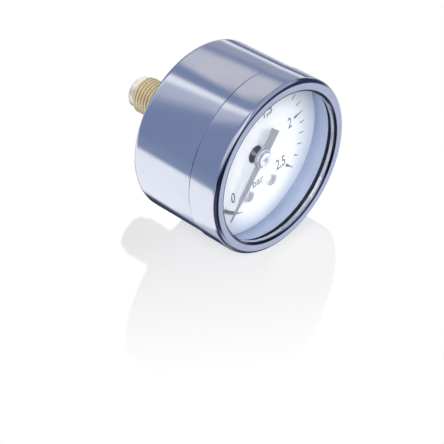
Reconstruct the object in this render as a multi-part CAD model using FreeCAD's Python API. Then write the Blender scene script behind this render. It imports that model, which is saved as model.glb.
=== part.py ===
import FreeCAD, Part
import math
import os

os.makedirs("parts", exist_ok=True)

# Pressure gauge, nominal size 63, with a centre back connection.
# The dial faces -Y, twelve o'clock is +Z, and the stem points along +Y.
# The origin is the centre of the stem's end face. A depth is counted from
# there towards the dial, so a point at depth d lies at y = -d.

# stem and socket
THREAD_DIAMETER = 13.157
THREAD_LENGTH = 13.0
THREAD_CHAMFER = 1.0
PILOT_DIAMETER = 11.2
PILOT_LENGTH = 2.5
PILOT_EDGE = 0.4
RELIEF_UNDERCUT = 1.0785
RELIEF_LENGTH = 2.0
RELIEF_FILLET = 0.3
FLATS_CHAMFER = 0.8
FLATS_WIDTH = 14.0
COLLAR_DIAMETER = 18.0
COLLAR_LENGTH = 2.4
BORE_DIAMETER = 3.2
INLET_DIAMETER = 5.0
INLET_DEPTH = 6.0
CROSS_BORE_DIAMETER = 2.4
FLANGE_MARGIN = 3.0
FLANGE_THICKNESS = 5.5
ARM_MARGIN = 0.4
HOLDER_LENGTH = 12.0
HOLDER_WALL = 2.3
HOLDER_COVER = 1.4
HOLDER_CORNER = 2.0
HOLDER_EDGE = 0.6

# restrictor in the inlet
RESTRICTOR_CLEARANCE = 0.05
RESTRICTOR_SINK = 1.0
THROAT_DIAMETER = 0.8
SLOT_WIDTH = 0.8
SLOT_DEPTH = 0.8

# case
CASE_BACK = 28.6
CASE_DIAMETER = 62.0
CASE_WALL = 0.8
CASE_EDGE_RADIUS = 2.2
NECK_SETBACK = 0.45
NECK_JOG = 0.6
NECK_FILLET = 0.4
COLLAR_CLEARANCE = 0.1
CASE_GASKET_THICKNESS = 0.5
CASE_GASKET_MARGIN = 0.4

# case screws
CASE_SCREW_GAP = 0.5
CASE_SCREW_DIAMETER = 3.0
CASE_SCREW_HEAD = 5.0
CASE_SCREW_HEAD_HEIGHT = 1.5
CASE_SCREW_LENGTH = 5.0
CASE_SCREW_CROWN = 0.9
CASE_SCREW_TIP_GAP = 0.4
THROUGH_HOLE_ALLOWANCE = 0.4
SCREW_CLEARANCE = 0.05

# blow-out plug in the case's back
PLUG_GAP = 0.4
PLUG_EDGE_RADIUS = 0.5
PLUG_LIP_TAPER = 1.0
PLUG_HOLE_DIAMETER = 10.0
PLUG_FLANGE_DIAMETER = 12.4
PLUG_FLANGE_THICKNESS = 1.1
PLUG_LIP_DIAMETER = 11.2
PLUG_LIP_THICKNESS = 1.2

# bezel ring, measured from the window's face
RIM_STEP = 0.5
BAND_STEP = 0.4
BAND_LENGTH = 9.6
BAND_GAP = 0.4
BAND_EDGE = 0.25
BEZEL_CLEARANCE = 0.05
GROOVE_DEPTH = 0.55
GROOVE_BACK = 2.2
GROOVE_MIDDLE = 1.3
GROOVE_FILLET = 0.5
BEAD_BACK = 0.3
BEAD_BACK_FILLET = 0.8
BEAD_OUTER_FILLET = 1.3
BEAD_FACE = 2.3
BEAD_INNER_FILLET = 1.6
LIP_HEIGHT = 2.2
LIP_EDGE_HEIGHT = 1.0
LIP_EDGE_FILLET = 0.3
LIP_REACH = 2.85

# window, gasket, spacer and dial
WINDOW_CLEARANCE = 0.2
WINDOW_THICKNESS = 2.0
WINDOW_EDGE = 0.2
GASKET_THICKNESS = 1.1
GASKET_WIDTH = 2.8
GASKET_EDGE = 0.3
GASKET_STANDOFF = 7.7
SPACER_LENGTH = 4.9
SPACER_CLEARANCE = 0.15
SPACER_WALL = 0.3
SPACER_FLANGE_WIDTH = 1.3
SPACER_FLANGE_THICKNESS = 0.4
DIAL_STANDOFF = 6.9
DIAL_THICKNESS = 0.5
DIAL_GAP = 0.15
DIAL_HOLE_DIAMETER = 6.4

# Bourdon tube, a C seen from the front
TUBE_RADIUS = 20.0
TUBE_WIDTH = 8.0
TUBE_THICKNESS = 2.6
TUBE_WALL = 0.35
TUBE_EDGE_SHARE = 0.45
TUBE_STANDOFF = 5.8
TUBE_ROOT_ANGLE = -92.0
TUBE_END_ANGLE = -348.0
SOLDER_GAP = 0.05

# movement
PLATE_THICKNESS = 1.2
PLATE_MARGIN = 3.5
PLATE_SPACING = 9.0
PILLAR_X = 10.5
PILLAR_Z = 6.5
PILLAR_DIAMETER = 3.6
PILLAR_SCREW_DIAMETER = 1.6
NUT_WIDTH = 3.2
NUT_THICKNESS = 1.3
MOVEMENT_SCREW_DIAMETER = 1.6
MOVEMENT_SCREW_HEAD = 3.2
MOVEMENT_SCREW_HEAD_HEIGHT = 1.1
MOVEMENT_SCREW_LENGTH = 4.0
MOVEMENT_SCREW_TIP_GAP = 0.3
MOVEMENT_SCREW_SLOT = 0.5
FINE_SLOT_WIDTH = 0.4
MOVEMENT_SCREW_PLACES = ((-5.6, -6.2), (5.8, -3.4))
RUNNING_CLEARANCE = 0.05
END_PLAY = 0.1

# gearing
MODULE = 0.2
PINION_TEETH = 12
SECTOR_WHOLE_TEETH = 132
SECTOR_ANGLE = -39.0
TEETH_BEYOND_REST = 2
TEETH_BEFORE_REST = 11
PRESSURE_ANGLE = math.radians(20.0)
BACKLASH = 0.05
PINION_ADDENDUM = 0.20
SECTOR_ADDENDUM = 0.14
TOOTH_CLEARANCE = 0.06
PINION_STANDOFF = 5.5
PINION_LENGTH = 3.3
SECTOR_SETBACK = 1.0
SECTOR_THICKNESS = 1.2
SECTOR_HUB_DIAMETER = 5.0
SECTOR_RIM = 1.6
SECTOR_SPOKE = 1.3
SPOKE_OVERLAP = 0.4
SPOKE_INSET_DEGREES = 1.5
SECTOR_TRAVEL = 270.0 * PINION_TEETH / SECTOR_WHOLE_TEETH
TAIL_LENGTH = 5.2
TAIL_WIDTH = 2.6

# arbors
ARBOR_DIAMETER = 1.4
ARBOR_PROUD = 0.4
BEARING_DIAMETER = 1.6
BACK_PIVOT_DIAMETER = 1.0
BACK_PIVOT_ROOT = 0.5
SECTOR_ARBOR_DIAMETER = 2.2
SECTOR_PIVOT_DIAMETER = 1.2

# link and tube end
LINK_LENGTH = 9.0
LINK_GAP = 1.3
LINK_THICKNESS = 1.0
LINK_WIDTH = 2.0
LINK_EYE_DIAMETER = 3.0
LINK_PIN_DIAMETER = 1.2
OPEN_PIVOT_CLEARANCE = 0.15
LUG_GAP = 0.1
LUG_THICKNESS = 1.6
LUG_DIAMETER = 3.8
PIN_HEAD_DIAMETER = 2.0
PIN_HEAD_HEIGHT = 0.5
LINK_SCREW_HEAD = 2.6
LINK_SCREW_HEAD_HEIGHT = 0.8
LINK_SCREW_SLOT = 0.4
END_PIECE_MARGIN = 1.0
END_PIECE_END_WALL = 0.6
END_PIECE_FILLET = 0.6
LUG_ROOT_DEGREES = 6.0
END_PIECE_SPAN = 9.0
END_PIECE_OVERLAP = 5.0

# hairspring
SPRING_STANDOFF = 2.0
SPRING_HEIGHT = 1.0
SPRING_THICKNESS = 0.18
SPRING_INNER_RADIUS = 1.85
SPRING_OUTER_RADIUS = 7.3
SPRING_TURNS = 5
COLLET_DIAMETER = 3.4
COLLET_LENGTH = 1.6
STUD_DIAMETER = 1.4
STUD_HEIGHT = 3.4

# dial posts and their screws
POST_SPACING = 11.2
POST_HOLDER_GAP = 0.5
POST_DIAMETER = 3.0
POST_BORE_DEPTH = 3.0
DIAL_SCREW_DIAMETER = 1.8
DIAL_SCREW_LENGTH = 2.6
DIAL_SCREW_HOLE = 2.2
DIAL_SCREW_HEAD = 4.1
DIAL_SCREW_HEAD_HEIGHT = 1.5
DIAL_SCREW_EDGE = 0.3
DIAL_SCREW_SLOT = 0.7

# pointer
POINTER_ANGLE = 225.0
POINTER_GAP = 2.7
POINTER_THICKNESS = 0.4
POINTER_DISC_DIAMETER = 7.0
TAIL_REACH = 10.4
TAIL_STRIP_WIDTH = 4.2
ARM_ROOT_WIDTH = 2.9
ARM_WIDTH_AT_STEP = 2.3
NEEDLE_LENGTH = 6.8
NEEDLE_SHOULDER = 2.0
NEEDLE_POINT = 0.6
NEEDLE_WIDTH = 1.1
NEEDLE_TIP_GAP = 5.6
NEEDLE_TIP_WIDTH = 0.5
HUB_BASE_DIAMETER = 6.8
HUB_BASE_HEIGHT = 0.7
HUB_TOP_DIAMETER = 5.2
HUB_TOP_HEIGHT = 0.8
HUB_SPIGOT_DIAMETER = 3.2
HUB_SPIGOT_LENGTH = 0.8
HUB_EDGE = 0.2

# diameters and places that follow from the sizes above, from the stem outward
RELIEF_DIAMETER = THREAD_DIAMETER - 2 * RELIEF_UNDERCUT
CASE_HOLE_DIAMETER = COLLAR_DIAMETER + 2 * COLLAR_CLEARANCE
CASE_SCREW_SPACING = COLLAR_DIAMETER + CASE_SCREW_HEAD + 2 * CASE_SCREW_GAP
FLANGE_DIAMETER = CASE_SCREW_SPACING + 2 * FLANGE_MARGIN
CASE_GASKET_OUTER = FLANGE_DIAMETER - 2 * CASE_GASKET_MARGIN
PLUG_HEIGHT = (FLANGE_DIAMETER + PLUG_LIP_DIAMETER) / 2.0 + PLUG_GAP
NECK_DIAMETER = CASE_DIAMETER - 2 * NECK_SETBACK
NECK_INNER_DIAMETER = NECK_DIAMETER - 2 * CASE_WALL
BEZEL_INNER_DIAMETER = NECK_DIAMETER + 2 * BEZEL_CLEARANCE
BAND_DIAMETER = CASE_DIAMETER + 2 * BAND_STEP
RIM_DIAMETER = CASE_DIAMETER + 2 * RIM_STEP
GROOVE_DIAMETER = RIM_DIAMETER - 2 * GROOVE_DEPTH
WINDOW_DIAMETER = BEZEL_INNER_DIAMETER - 2 * WINDOW_CLEARANCE
APERTURE_DIAMETER = WINDOW_DIAMETER - 2 * LIP_REACH
GASKET_INNER_DIAMETER = WINDOW_DIAMETER - 2 * GASKET_WIDTH
SPACER_DIAMETER = NECK_INNER_DIAMETER - 2 * SPACER_CLEARANCE
DIAL_DIAMETER = NECK_INNER_DIAMETER - 2 * DIAL_GAP
NEEDLE_TIP_RADIUS = DIAL_DIAMETER / 2.0 - NEEDLE_TIP_GAP
NEEDLE_RADIUS = NEEDLE_TIP_RADIUS - NEEDLE_LENGTH
ARM_STEP_RADIUS = NEEDLE_RADIUS - NEEDLE_SHOULDER
HOLDER_BELOW = TUBE_RADIUS + TUBE_THICKNESS / 2.0 + HOLDER_WALL
HOLDER_ABOVE = TUBE_RADIUS - TUBE_THICKNESS / 2.0 - HOLDER_WALL

# depths that follow, from the case's back to the rim
FLANGE_BACK = CASE_BACK + CASE_WALL + CASE_GASKET_THICKNESS
FLANGE_FRONT = FLANGE_BACK + FLANGE_THICKNESS
BACK_PLATE_FRONT = FLANGE_FRONT + PLATE_THICKNESS
FRONT_PLATE_BACK = BACK_PLATE_FRONT + PLATE_SPACING
FRONT_PLATE_FRONT = FRONT_PLATE_BACK + PLATE_THICKNESS
TUBE_CENTRE_DEPTH = FLANGE_FRONT + TUBE_STANDOFF
HOLDER_FRONT = TUBE_CENTRE_DEPTH + TUBE_WIDTH / 2.0 + HOLDER_COVER
SPRING_BACK = BACK_PLATE_FRONT + SPRING_STANDOFF
PINION_BACK = BACK_PLATE_FRONT + PINION_STANDOFF
SECTOR_BACK = PINION_BACK + SECTOR_SETBACK
LINK_BACK = SECTOR_BACK - LINK_GAP - LINK_THICKNESS
DIAL_BACK = FRONT_PLATE_FRONT + DIAL_STANDOFF
DIAL_FACE = DIAL_BACK + DIAL_THICKNESS
POINTER_BACK = DIAL_FACE + POINTER_GAP
HUB_FRONT = POINTER_BACK + POINTER_THICKNESS + HUB_BASE_HEIGHT + HUB_TOP_HEIGHT
ARBOR_END = HUB_FRONT + ARBOR_PROUD
GASKET_BACK = DIAL_FACE + GASKET_STANDOFF
WINDOW_BACK = GASKET_BACK + GASKET_THICKNESS
RIM_DEPTH = WINDOW_BACK + WINDOW_THICKNESS
BAND_REAR = RIM_DEPTH - BAND_LENGTH
NECK_START = BAND_REAR - BAND_GAP - NECK_JOG

# centres of the movement, seen from the front
PINION_PITCH = MODULE * PINION_TEETH / 2.0
SECTOR_PITCH = MODULE * SECTOR_WHOLE_TEETH / 2.0
CENTRE_DISTANCE = PINION_PITCH + SECTOR_PITCH
SECTOR_X = CENTRE_DISTANCE * math.cos(math.radians(SECTOR_ANGLE))
SECTOR_Z = CENTRE_DISTANCE * math.sin(math.radians(SECTOR_ANGLE))
TAIL_ANGLE = math.radians(-SECTOR_TRAVEL / 2.0)
TAIL_X = SECTOR_X + TAIL_LENGTH * math.cos(TAIL_ANGLE)
TAIL_Z = SECTOR_Z + TAIL_LENGTH * math.sin(TAIL_ANGLE)
TAIL_SWAY = TAIL_LENGTH * (1.0 - math.cos(TAIL_ANGLE))
TIP_X = TAIL_X + TAIL_SWAY / 2.0
TIP_Z = TAIL_Z + LINK_LENGTH
LUG_BACK = LINK_BACK + LINK_THICKNESS + LUG_GAP
POST_X = POST_SPACING / 2.0
POST_Z = POST_DIAMETER / 2.0 + POST_HOLDER_GAP - HOLDER_ABOVE
ARM_WIDTH = POST_SPACING + POST_DIAMETER + 2 * ARM_MARGIN


def at(x, depth, z):
    return FreeCAD.Vector(x, -depth, z)


def polar(radius, degrees, x=0.0, z=0.0):
    angle = math.radians(degrees)
    return (x + radius * math.cos(angle), z + radius * math.sin(angle))


def rounded_wire(corners, place):
    """Closed wire through (u, v, fillet radius) corners, set by place(u, v)."""
    cuts = []
    count = len(corners)
    for i, (u, v, radius) in enumerate(corners):
        before, after = corners[i - 1], corners[(i + 1) % count]
        if radius == 0.0:
            cuts.append((place(u, v), None, place(u, v)))
            continue
        ax, ay = before[0] - u, before[1] - v
        bx, by = after[0] - u, after[1] - v
        a, b = math.hypot(ax, ay), math.hypot(bx, by)
        ax, ay, bx, by = ax / a, ay / a, bx / b, by / b
        half = math.acos(max(-1.0, min(1.0, ax * bx + ay * by))) / 2.0
        reach = radius / math.tan(half)
        mx, my = ax + bx, ay + by
        m = math.hypot(mx, my)
        to_arc = radius / math.sin(half) - radius
        start = place(u + ax * reach, v + ay * reach)
        middle = place(u + mx / m * to_arc, v + my / m * to_arc)
        end = place(u + bx * reach, v + by * reach)
        cuts.append((start, middle, end))
    edges = []
    for i, (start, middle, end) in enumerate(cuts):
        if middle is not None:
            edges.append(Part.Arc(start, middle, end).toShape())
        following = cuts[(i + 1) % count][0]
        if (following - end).Length > 1e-7:
            edges.append(Part.makeLine(end, following))
    return Part.Wire(edges)


def turned(corners, sweep=360.0):
    """Revolve (radius, depth, fillet) corners about the gauge's axis."""
    wire = rounded_wire(corners, lambda r, d: at(r, d, 0.0))
    return Part.Face(wire).revolve(FreeCAD.Vector(0, 0, 0), FreeCAD.Vector(0, 1, 0), sweep)


def plate(corners, back, thickness):
    """Flat piece with (x, z, fillet) corners from depth back towards the dial."""
    wire = rounded_wire(corners, lambda x, z: at(x, back, z))
    return Part.Face(wire).extrude(FreeCAD.Vector(0, -thickness, 0))


def rod(diameter, back, length, x=0.0, z=0.0):
    return Part.makeCylinder(diameter / 2.0, length, at(x, back, z), FreeCAD.Vector(0, -1, 0))


def block(x0, x1, d0, d1, z0, z1):
    return Part.makeBox(x1 - x0, d1 - d0, z1 - z0, at(x0, d1, z0))


def hexagon(width, back, thickness, x, z):
    radius = width / math.sqrt(3.0)
    corners = [polar(radius, 60.0 * i, x, z) + (0.0,) for i in range(6)]
    return plate(corners, back, thickness)


def joined(shapes):
    return shapes[0].fuse(shapes[1:]).removeSplitter()


def thread_plug():
    """Stem from its end face to the collar, before the bores."""
    pilot = PILOT_DIAMETER / 2.0
    major = THREAD_DIAMETER / 2.0
    relief = RELIEF_DIAMETER / 2.0
    collar = COLLAR_DIAMETER / 2.0
    relief_end = THREAD_LENGTH + RELIEF_LENGTH
    body = turned([
        (0.0, 0.0, 0.0),
        (pilot - PILOT_EDGE, 0.0, 0.0),
        (pilot, PILOT_EDGE, 0.0),
        (pilot, PILOT_LENGTH, 0.0),
        (major, PILOT_LENGTH + major - pilot, 0.0),
        (major, THREAD_LENGTH - THREAD_CHAMFER, 0.0),
        (relief, THREAD_LENGTH, RELIEF_FILLET),
        (relief, relief_end, RELIEF_FILLET),
        (collar - FLATS_CHAMFER, relief_end, 0.0),
        (collar, relief_end + FLATS_CHAMFER, 0.0),
        (collar, FLANGE_BACK, 0.0),
        (0.0, FLANGE_BACK, 0.0),
    ])
    half = FLATS_WIDTH / 2.0
    collar_back = CASE_BACK - COLLAR_LENGTH
    around = COLLAR_DIAMETER + FLATS_CHAMFER
    flats = block(-half, half, relief_end, collar_back, -half, half)
    thread_part = rod(around, 0.0, relief_end)
    collar_part = rod(around, collar_back, FLANGE_BACK - collar_back)
    return body.common(joined([flats, thread_part, collar_part]))


def socket():
    """Stem, flange, arm and tube holder in one brass piece."""
    flange = rod(FLANGE_DIAMETER, FLANGE_BACK, FLANGE_THICKNESS)
    half = ARM_WIDTH / 2.0
    arm = plate([
        (-half, -HOLDER_BELOW, HOLDER_CORNER),
        (half, -HOLDER_BELOW, HOLDER_CORNER),
        (half, 0.0, 0.0),
        (-half, 0.0, 0.0),
    ], FLANGE_BACK, FLANGE_THICKNESS)
    holder_half = HOLDER_LENGTH / 2.0
    holder = plate([
        (-holder_half, -HOLDER_BELOW, HOLDER_CORNER),
        (holder_half, -HOLDER_BELOW, HOLDER_CORNER),
        (holder_half, -HOLDER_ABOVE, HOLDER_EDGE),
        (-holder_half, -HOLDER_ABOVE, HOLDER_EDGE),
    ], FLANGE_FRONT, HOLDER_FRONT - FLANGE_FRONT)
    body = joined([thread_plug(), flange, arm, holder])
    cross_depth = FLANGE_BACK + FLANGE_THICKNESS / 2.0
    holes = [
        rod(INLET_DIAMETER, 0.0, INLET_DEPTH),
        rod(BORE_DIAMETER, 0.0, cross_depth),
        tube_outer(SOLDER_GAP),
    ]
    cross = CROSS_BORE_DIAMETER / 2.0
    down = FreeCAD.Vector(0, 0, -1)
    slot_x = -holder_half / 2.0
    holes.append(Part.makeCylinder(cross, TUBE_RADIUS, at(0, cross_depth, 0), down))
    holes.append(Part.makeCylinder(cross, holder_half / 2.0, at(0, cross_depth, -TUBE_RADIUS),
                                   FreeCAD.Vector(-1, 0, 0)))
    holes.append(rod(CROSS_BORE_DIAMETER, cross_depth, TUBE_CENTRE_DEPTH - cross_depth,
                     slot_x, -TUBE_RADIUS))
    for x, z in MOVEMENT_SCREW_PLACES:
        holes.append(rod(MOVEMENT_SCREW_DIAMETER + 2 * SCREW_CLEARANCE,
                         FLANGE_FRONT - MOVEMENT_SCREW_LENGTH, MOVEMENT_SCREW_LENGTH, x, z))
    for side in (-1, 1):
        holes.append(rod(CASE_SCREW_DIAMETER + 2 * SCREW_CLEARANCE, FLANGE_BACK,
                         CASE_SCREW_LENGTH, side * CASE_SCREW_SPACING / 2.0))
    return body.cut(holes)


def restrictor_screw():
    diameter = INLET_DIAMETER - 2 * RESTRICTOR_CLEARANCE
    body = rod(diameter, RESTRICTOR_SINK, INLET_DEPTH - RESTRICTOR_SINK)
    throat = rod(THROAT_DIAMETER, 0.0, INLET_DEPTH + 1.0)
    half = SLOT_WIDTH / 2.0
    slot = block(-diameter, diameter, 0.0, RESTRICTOR_SINK + SLOT_DEPTH, -half, half)
    return body.cut([throat, slot])


def case_cup():
    outer = CASE_DIAMETER / 2.0
    neck = NECK_DIAMETER / 2.0
    wall = CASE_WALL
    hole = CASE_HOLE_DIAMETER / 2.0
    inner_edge = CASE_EDGE_RADIUS - wall
    neck_end = NECK_START + NECK_JOG
    cup = turned([
        (hole, CASE_BACK, 0.0),
        (outer, CASE_BACK, CASE_EDGE_RADIUS),
        (outer, NECK_START, NECK_FILLET),
        (neck, neck_end, NECK_FILLET),
        (neck, GASKET_BACK, 0.0),
        (neck - wall, GASKET_BACK, 0.0),
        (neck - wall, neck_end, NECK_FILLET),
        (outer - wall, NECK_START, NECK_FILLET),
        (outer - wall, CASE_BACK + wall, inner_edge),
        (hole, CASE_BACK + wall, 0.0),
    ])
    holes = [rod(PLUG_HOLE_DIAMETER, CASE_BACK - 1.0, wall + 2.0, 0.0, PLUG_HEIGHT)]
    for side in (-1, 1):
        holes.append(rod(CASE_SCREW_DIAMETER + THROUGH_HOLE_ALLOWANCE, CASE_BACK - 1.0, wall + 2.0,
                         side * CASE_SCREW_SPACING / 2.0))
    return cup.cut(holes)


def case_gasket():
    back = CASE_BACK + CASE_WALL
    ring = rod(CASE_GASKET_OUTER, back, CASE_GASKET_THICKNESS)
    holes = [rod(CASE_HOLE_DIAMETER, back, CASE_GASKET_THICKNESS)]
    for side in (-1, 1):
        holes.append(rod(CASE_SCREW_DIAMETER + THROUGH_HOLE_ALLOWANCE, back, CASE_GASKET_THICKNESS,
                         side * CASE_SCREW_SPACING / 2.0))
    return ring.cut(holes)


def case_screw(side):
    x = side * CASE_SCREW_SPACING / 2.0
    head_back = CASE_BACK - CASE_SCREW_HEAD_HEIGHT
    head = rod(CASE_SCREW_HEAD, head_back, CASE_SCREW_HEAD_HEIGHT, x)
    crown = [edge for edge in head.Edges if abs(edge.BoundBox.YMax + head_back) < 1e-6
             and edge.BoundBox.YLength < 1e-6]
    head = head.makeFillet(CASE_SCREW_CROWN, crown)
    shank_end = FLANGE_BACK + CASE_SCREW_LENGTH - CASE_SCREW_TIP_GAP
    shank = rod(CASE_SCREW_DIAMETER, CASE_BACK, shank_end - CASE_BACK, x)
    half = SLOT_WIDTH / 2.0
    reach = CASE_SCREW_HEAD
    slot = block(x - reach, x + reach, head_back, head_back + SLOT_DEPTH, -half, half)
    return head.fuse(shank).removeSplitter().cut(slot)


def blow_out_plug():
    flange = rod(PLUG_FLANGE_DIAMETER, CASE_BACK - PLUG_FLANGE_THICKNESS,
                 PLUG_FLANGE_THICKNESS, 0.0, PLUG_HEIGHT)
    edge = [e for e in flange.Edges
            if abs(e.BoundBox.YMax + CASE_BACK - PLUG_FLANGE_THICKNESS) < 1e-6
            and e.BoundBox.YLength < 1e-6]
    flange = flange.makeFillet(PLUG_EDGE_RADIUS, edge)
    waist = rod(PLUG_HOLE_DIAMETER, CASE_BACK, CASE_WALL, 0.0, PLUG_HEIGHT)
    lip_radius = PLUG_LIP_DIAMETER / 2.0
    lip = Part.makeCone(lip_radius, lip_radius - PLUG_LIP_TAPER,
                        PLUG_LIP_THICKNESS, at(0.0, CASE_BACK + CASE_WALL, PLUG_HEIGHT),
                        FreeCAD.Vector(0, -1, 0))
    return joined([flange, waist, lip])


def bezel_ring():
    """Band over the case's neck, a groove, and a bead with a lip over the window."""
    band = BAND_DIAMETER / 2.0
    rim = RIM_DIAMETER / 2.0
    groove = GROOVE_DIAMETER / 2.0
    inner = BEZEL_INNER_DIAMETER / 2.0
    aperture = APERTURE_DIAMETER / 2.0
    front = RIM_DEPTH + LIP_HEIGHT
    return turned([
        (inner, BAND_REAR, 0.0),
        (band, BAND_REAR, BAND_EDGE),
        (band, RIM_DEPTH - GROOVE_BACK, BEAD_BACK_FILLET),
        (groove, RIM_DEPTH - GROOVE_MIDDLE, GROOVE_FILLET),
        (rim, RIM_DEPTH - BEAD_BACK, BEAD_BACK_FILLET),
        (rim, front, BEAD_OUTER_FILLET),
        (rim - BEAD_FACE, front, BEAD_INNER_FILLET),
        (aperture, RIM_DEPTH + LIP_EDGE_HEIGHT, LIP_EDGE_FILLET),
        (aperture, RIM_DEPTH, 0.0),
        (inner, RIM_DEPTH, 0.0),
    ])


def window():
    radius = WINDOW_DIAMETER / 2.0
    return turned([
        (0.0, WINDOW_BACK, 0.0),
        (radius, WINDOW_BACK, 0.0),
        (radius, RIM_DEPTH, WINDOW_EDGE),
        (0.0, RIM_DEPTH, 0.0),
    ])


def window_gasket():
    outer = WINDOW_DIAMETER / 2.0
    inner = GASKET_INNER_DIAMETER / 2.0
    return turned([
        (inner, GASKET_BACK, GASKET_EDGE),
        (outer, GASKET_BACK, 0.0),
        (outer, WINDOW_BACK, 0.0),
        (inner, WINDOW_BACK, GASKET_EDGE),
    ])


def inner_ring():
    """Thin ring in the case's neck, with a flange under the gasket."""
    outer = SPACER_DIAMETER / 2.0
    back = GASKET_BACK - SPACER_LENGTH
    flange_back = GASKET_BACK - SPACER_FLANGE_THICKNESS
    return turned([
        (outer - SPACER_WALL, back, 0.0),
        (outer, back, 0.0),
        (outer, GASKET_BACK, 0.0),
        (outer - SPACER_FLANGE_WIDTH, GASKET_BACK, 0.0),
        (outer - SPACER_FLANGE_WIDTH, flange_back, 0.0),
        (outer - SPACER_WALL, flange_back, 0.0),
    ])


def dial():
    disc = rod(DIAL_DIAMETER, DIAL_BACK, DIAL_THICKNESS)
    holes = [rod(DIAL_HOLE_DIAMETER, DIAL_BACK, DIAL_THICKNESS)]
    for side in (-1, 1):
        holes.append(rod(DIAL_SCREW_HOLE, DIAL_BACK, DIAL_THICKNESS, side * POST_X, POST_Z))
    return disc.cut(holes)


def dial_post(side):
    post = rod(POST_DIAMETER, FLANGE_FRONT, DIAL_BACK - FLANGE_FRONT, side * POST_X, POST_Z)
    bore = rod(DIAL_SCREW_DIAMETER + 2 * SCREW_CLEARANCE, DIAL_BACK - POST_BORE_DEPTH,
               POST_BORE_DEPTH, side * POST_X, POST_Z)
    return post.cut(bore)


def dial_screw(side):
    """Slotted screw that holds the dial on its post."""
    x = side * POST_X
    head = rod(DIAL_SCREW_HEAD, DIAL_FACE, DIAL_SCREW_HEAD_HEIGHT, x, POST_Z)
    front = DIAL_FACE + DIAL_SCREW_HEAD_HEIGHT
    crown = [edge for edge in head.Edges if abs(edge.BoundBox.YMin + front) < 1e-6
             and edge.BoundBox.YLength < 1e-6]
    head = head.makeFillet(DIAL_SCREW_EDGE, crown)
    shank = rod(DIAL_SCREW_DIAMETER, DIAL_BACK - DIAL_SCREW_LENGTH,
                DIAL_SCREW_LENGTH + DIAL_THICKNESS, x, POST_Z)
    half = DIAL_SCREW_SLOT / 2.0
    reach = DIAL_SCREW_HEAD
    slot = block(x - half, x + half, front - DIAL_SCREW_SLOT, front,
                 POST_Z - reach, POST_Z + reach)
    return head.fuse(shank).removeSplitter().cut(slot)


def oval_wire(width, thickness):
    """Flattened tube section in the radius and depth plane."""
    half_w = width / 2.0
    half_t = thickness / 2.0
    low, high = TUBE_RADIUS - half_t, TUBE_RADIUS + half_t
    back, front = TUBE_CENTRE_DEPTH - half_w, TUBE_CENTRE_DEPTH + half_w
    edge = thickness * TUBE_EDGE_SHARE
    return rounded_wire([
        (low, back, edge), (high, back, edge), (high, front, edge), (low, front, edge),
    ], lambda r, d: at(r, d, 0.0))


def swept_section(wire, start, end):
    """Revolve a section clockwise seen from the front, from start to end degrees."""
    face = Part.Face(wire)
    face.rotate(FreeCAD.Vector(0, 0, 0), FreeCAD.Vector(0, -1, 0), start)
    return face.revolve(FreeCAD.Vector(0, 0, 0), FreeCAD.Vector(0, 1, 0), start - end)


def tube_outer(gap=0.0):
    wire = oval_wire(TUBE_WIDTH + 2 * gap, TUBE_THICKNESS + 2 * gap)
    return swept_section(wire, TUBE_ROOT_ANGLE + 2.0 * gap, TUBE_END_ANGLE - 2.0 * gap)


def bourdon_tube():
    inner = oval_wire(TUBE_WIDTH - 2 * TUBE_WALL, TUBE_THICKNESS - 2 * TUBE_WALL)
    return tube_outer().cut(swept_section(inner, TUBE_ROOT_ANGLE, TUBE_END_ANGLE))


def tube_end_piece():
    """Cap over the tube's end with a lug that reaches the link."""
    low = TUBE_RADIUS - TUBE_THICKNESS / 2.0 - END_PIECE_MARGIN
    high = TUBE_RADIUS + TUBE_THICKNESS / 2.0 + END_PIECE_MARGIN
    back = TUBE_CENTRE_DEPTH - TUBE_WIDTH / 2.0 - END_PIECE_END_WALL
    front = TUBE_CENTRE_DEPTH + TUBE_WIDTH / 2.0 + END_PIECE_END_WALL
    fillet = END_PIECE_FILLET
    section = rounded_wire([
        (low, back, fillet), (high, back, fillet), (high, front, fillet), (low, front, fillet),
    ], lambda r, d: at(r, d, 0.0))
    open_angle = TUBE_END_ANGLE + math.degrees(END_PIECE_OVERLAP / TUBE_RADIUS)
    closed_angle = open_angle - math.degrees(END_PIECE_SPAN / TUBE_RADIUS)
    cap = swept_section(section, open_angle, closed_angle)
    root_x, root_z = polar(TUBE_RADIUS, closed_angle + LUG_ROOT_DEGREES)
    dx, dz = TIP_X - root_x, TIP_Z - root_z
    length = math.hypot(dx, dz)
    nx, nz = -dz / length * LUG_DIAMETER / 2.0, dx / length * LUG_DIAMETER / 2.0
    arm = plate([
        (root_x + nx, root_z + nz, 0.0), (TIP_X + nx, TIP_Z + nz, 0.0),
        (TIP_X - nx, TIP_Z - nz, 0.0), (root_x - nx, root_z - nz, 0.0),
    ], LUG_BACK, LUG_THICKNESS)
    eye = rod(LUG_DIAMETER, LUG_BACK, LUG_THICKNESS, TIP_X, TIP_Z)
    body = joined([cap, arm, eye])
    hole = rod(LINK_PIN_DIAMETER, LUG_BACK, LUG_THICKNESS, TIP_X, TIP_Z)
    return body.cut([tube_outer(SOLDER_GAP), hole])


def link_screw():
    """Shouldered screw in the tube end's lug. The link swings on its shank."""
    head_front = LINK_BACK - END_PLAY
    head = rod(LINK_SCREW_HEAD, head_front - LINK_SCREW_HEAD_HEIGHT,
               LINK_SCREW_HEAD_HEIGHT, TIP_X, TIP_Z)
    shank = rod(LINK_PIN_DIAMETER, head_front, LUG_BACK + LUG_THICKNESS - head_front,
                TIP_X, TIP_Z)
    half = FINE_SLOT_WIDTH / 2.0
    reach = LINK_SCREW_HEAD
    head_back = head_front - LINK_SCREW_HEAD_HEIGHT
    slot = block(TIP_X - reach, TIP_X + reach, head_back, head_back + LINK_SCREW_SLOT,
                 TIP_Z - half, TIP_Z + half)
    return head.fuse(shank).removeSplitter().cut(slot)


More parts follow.
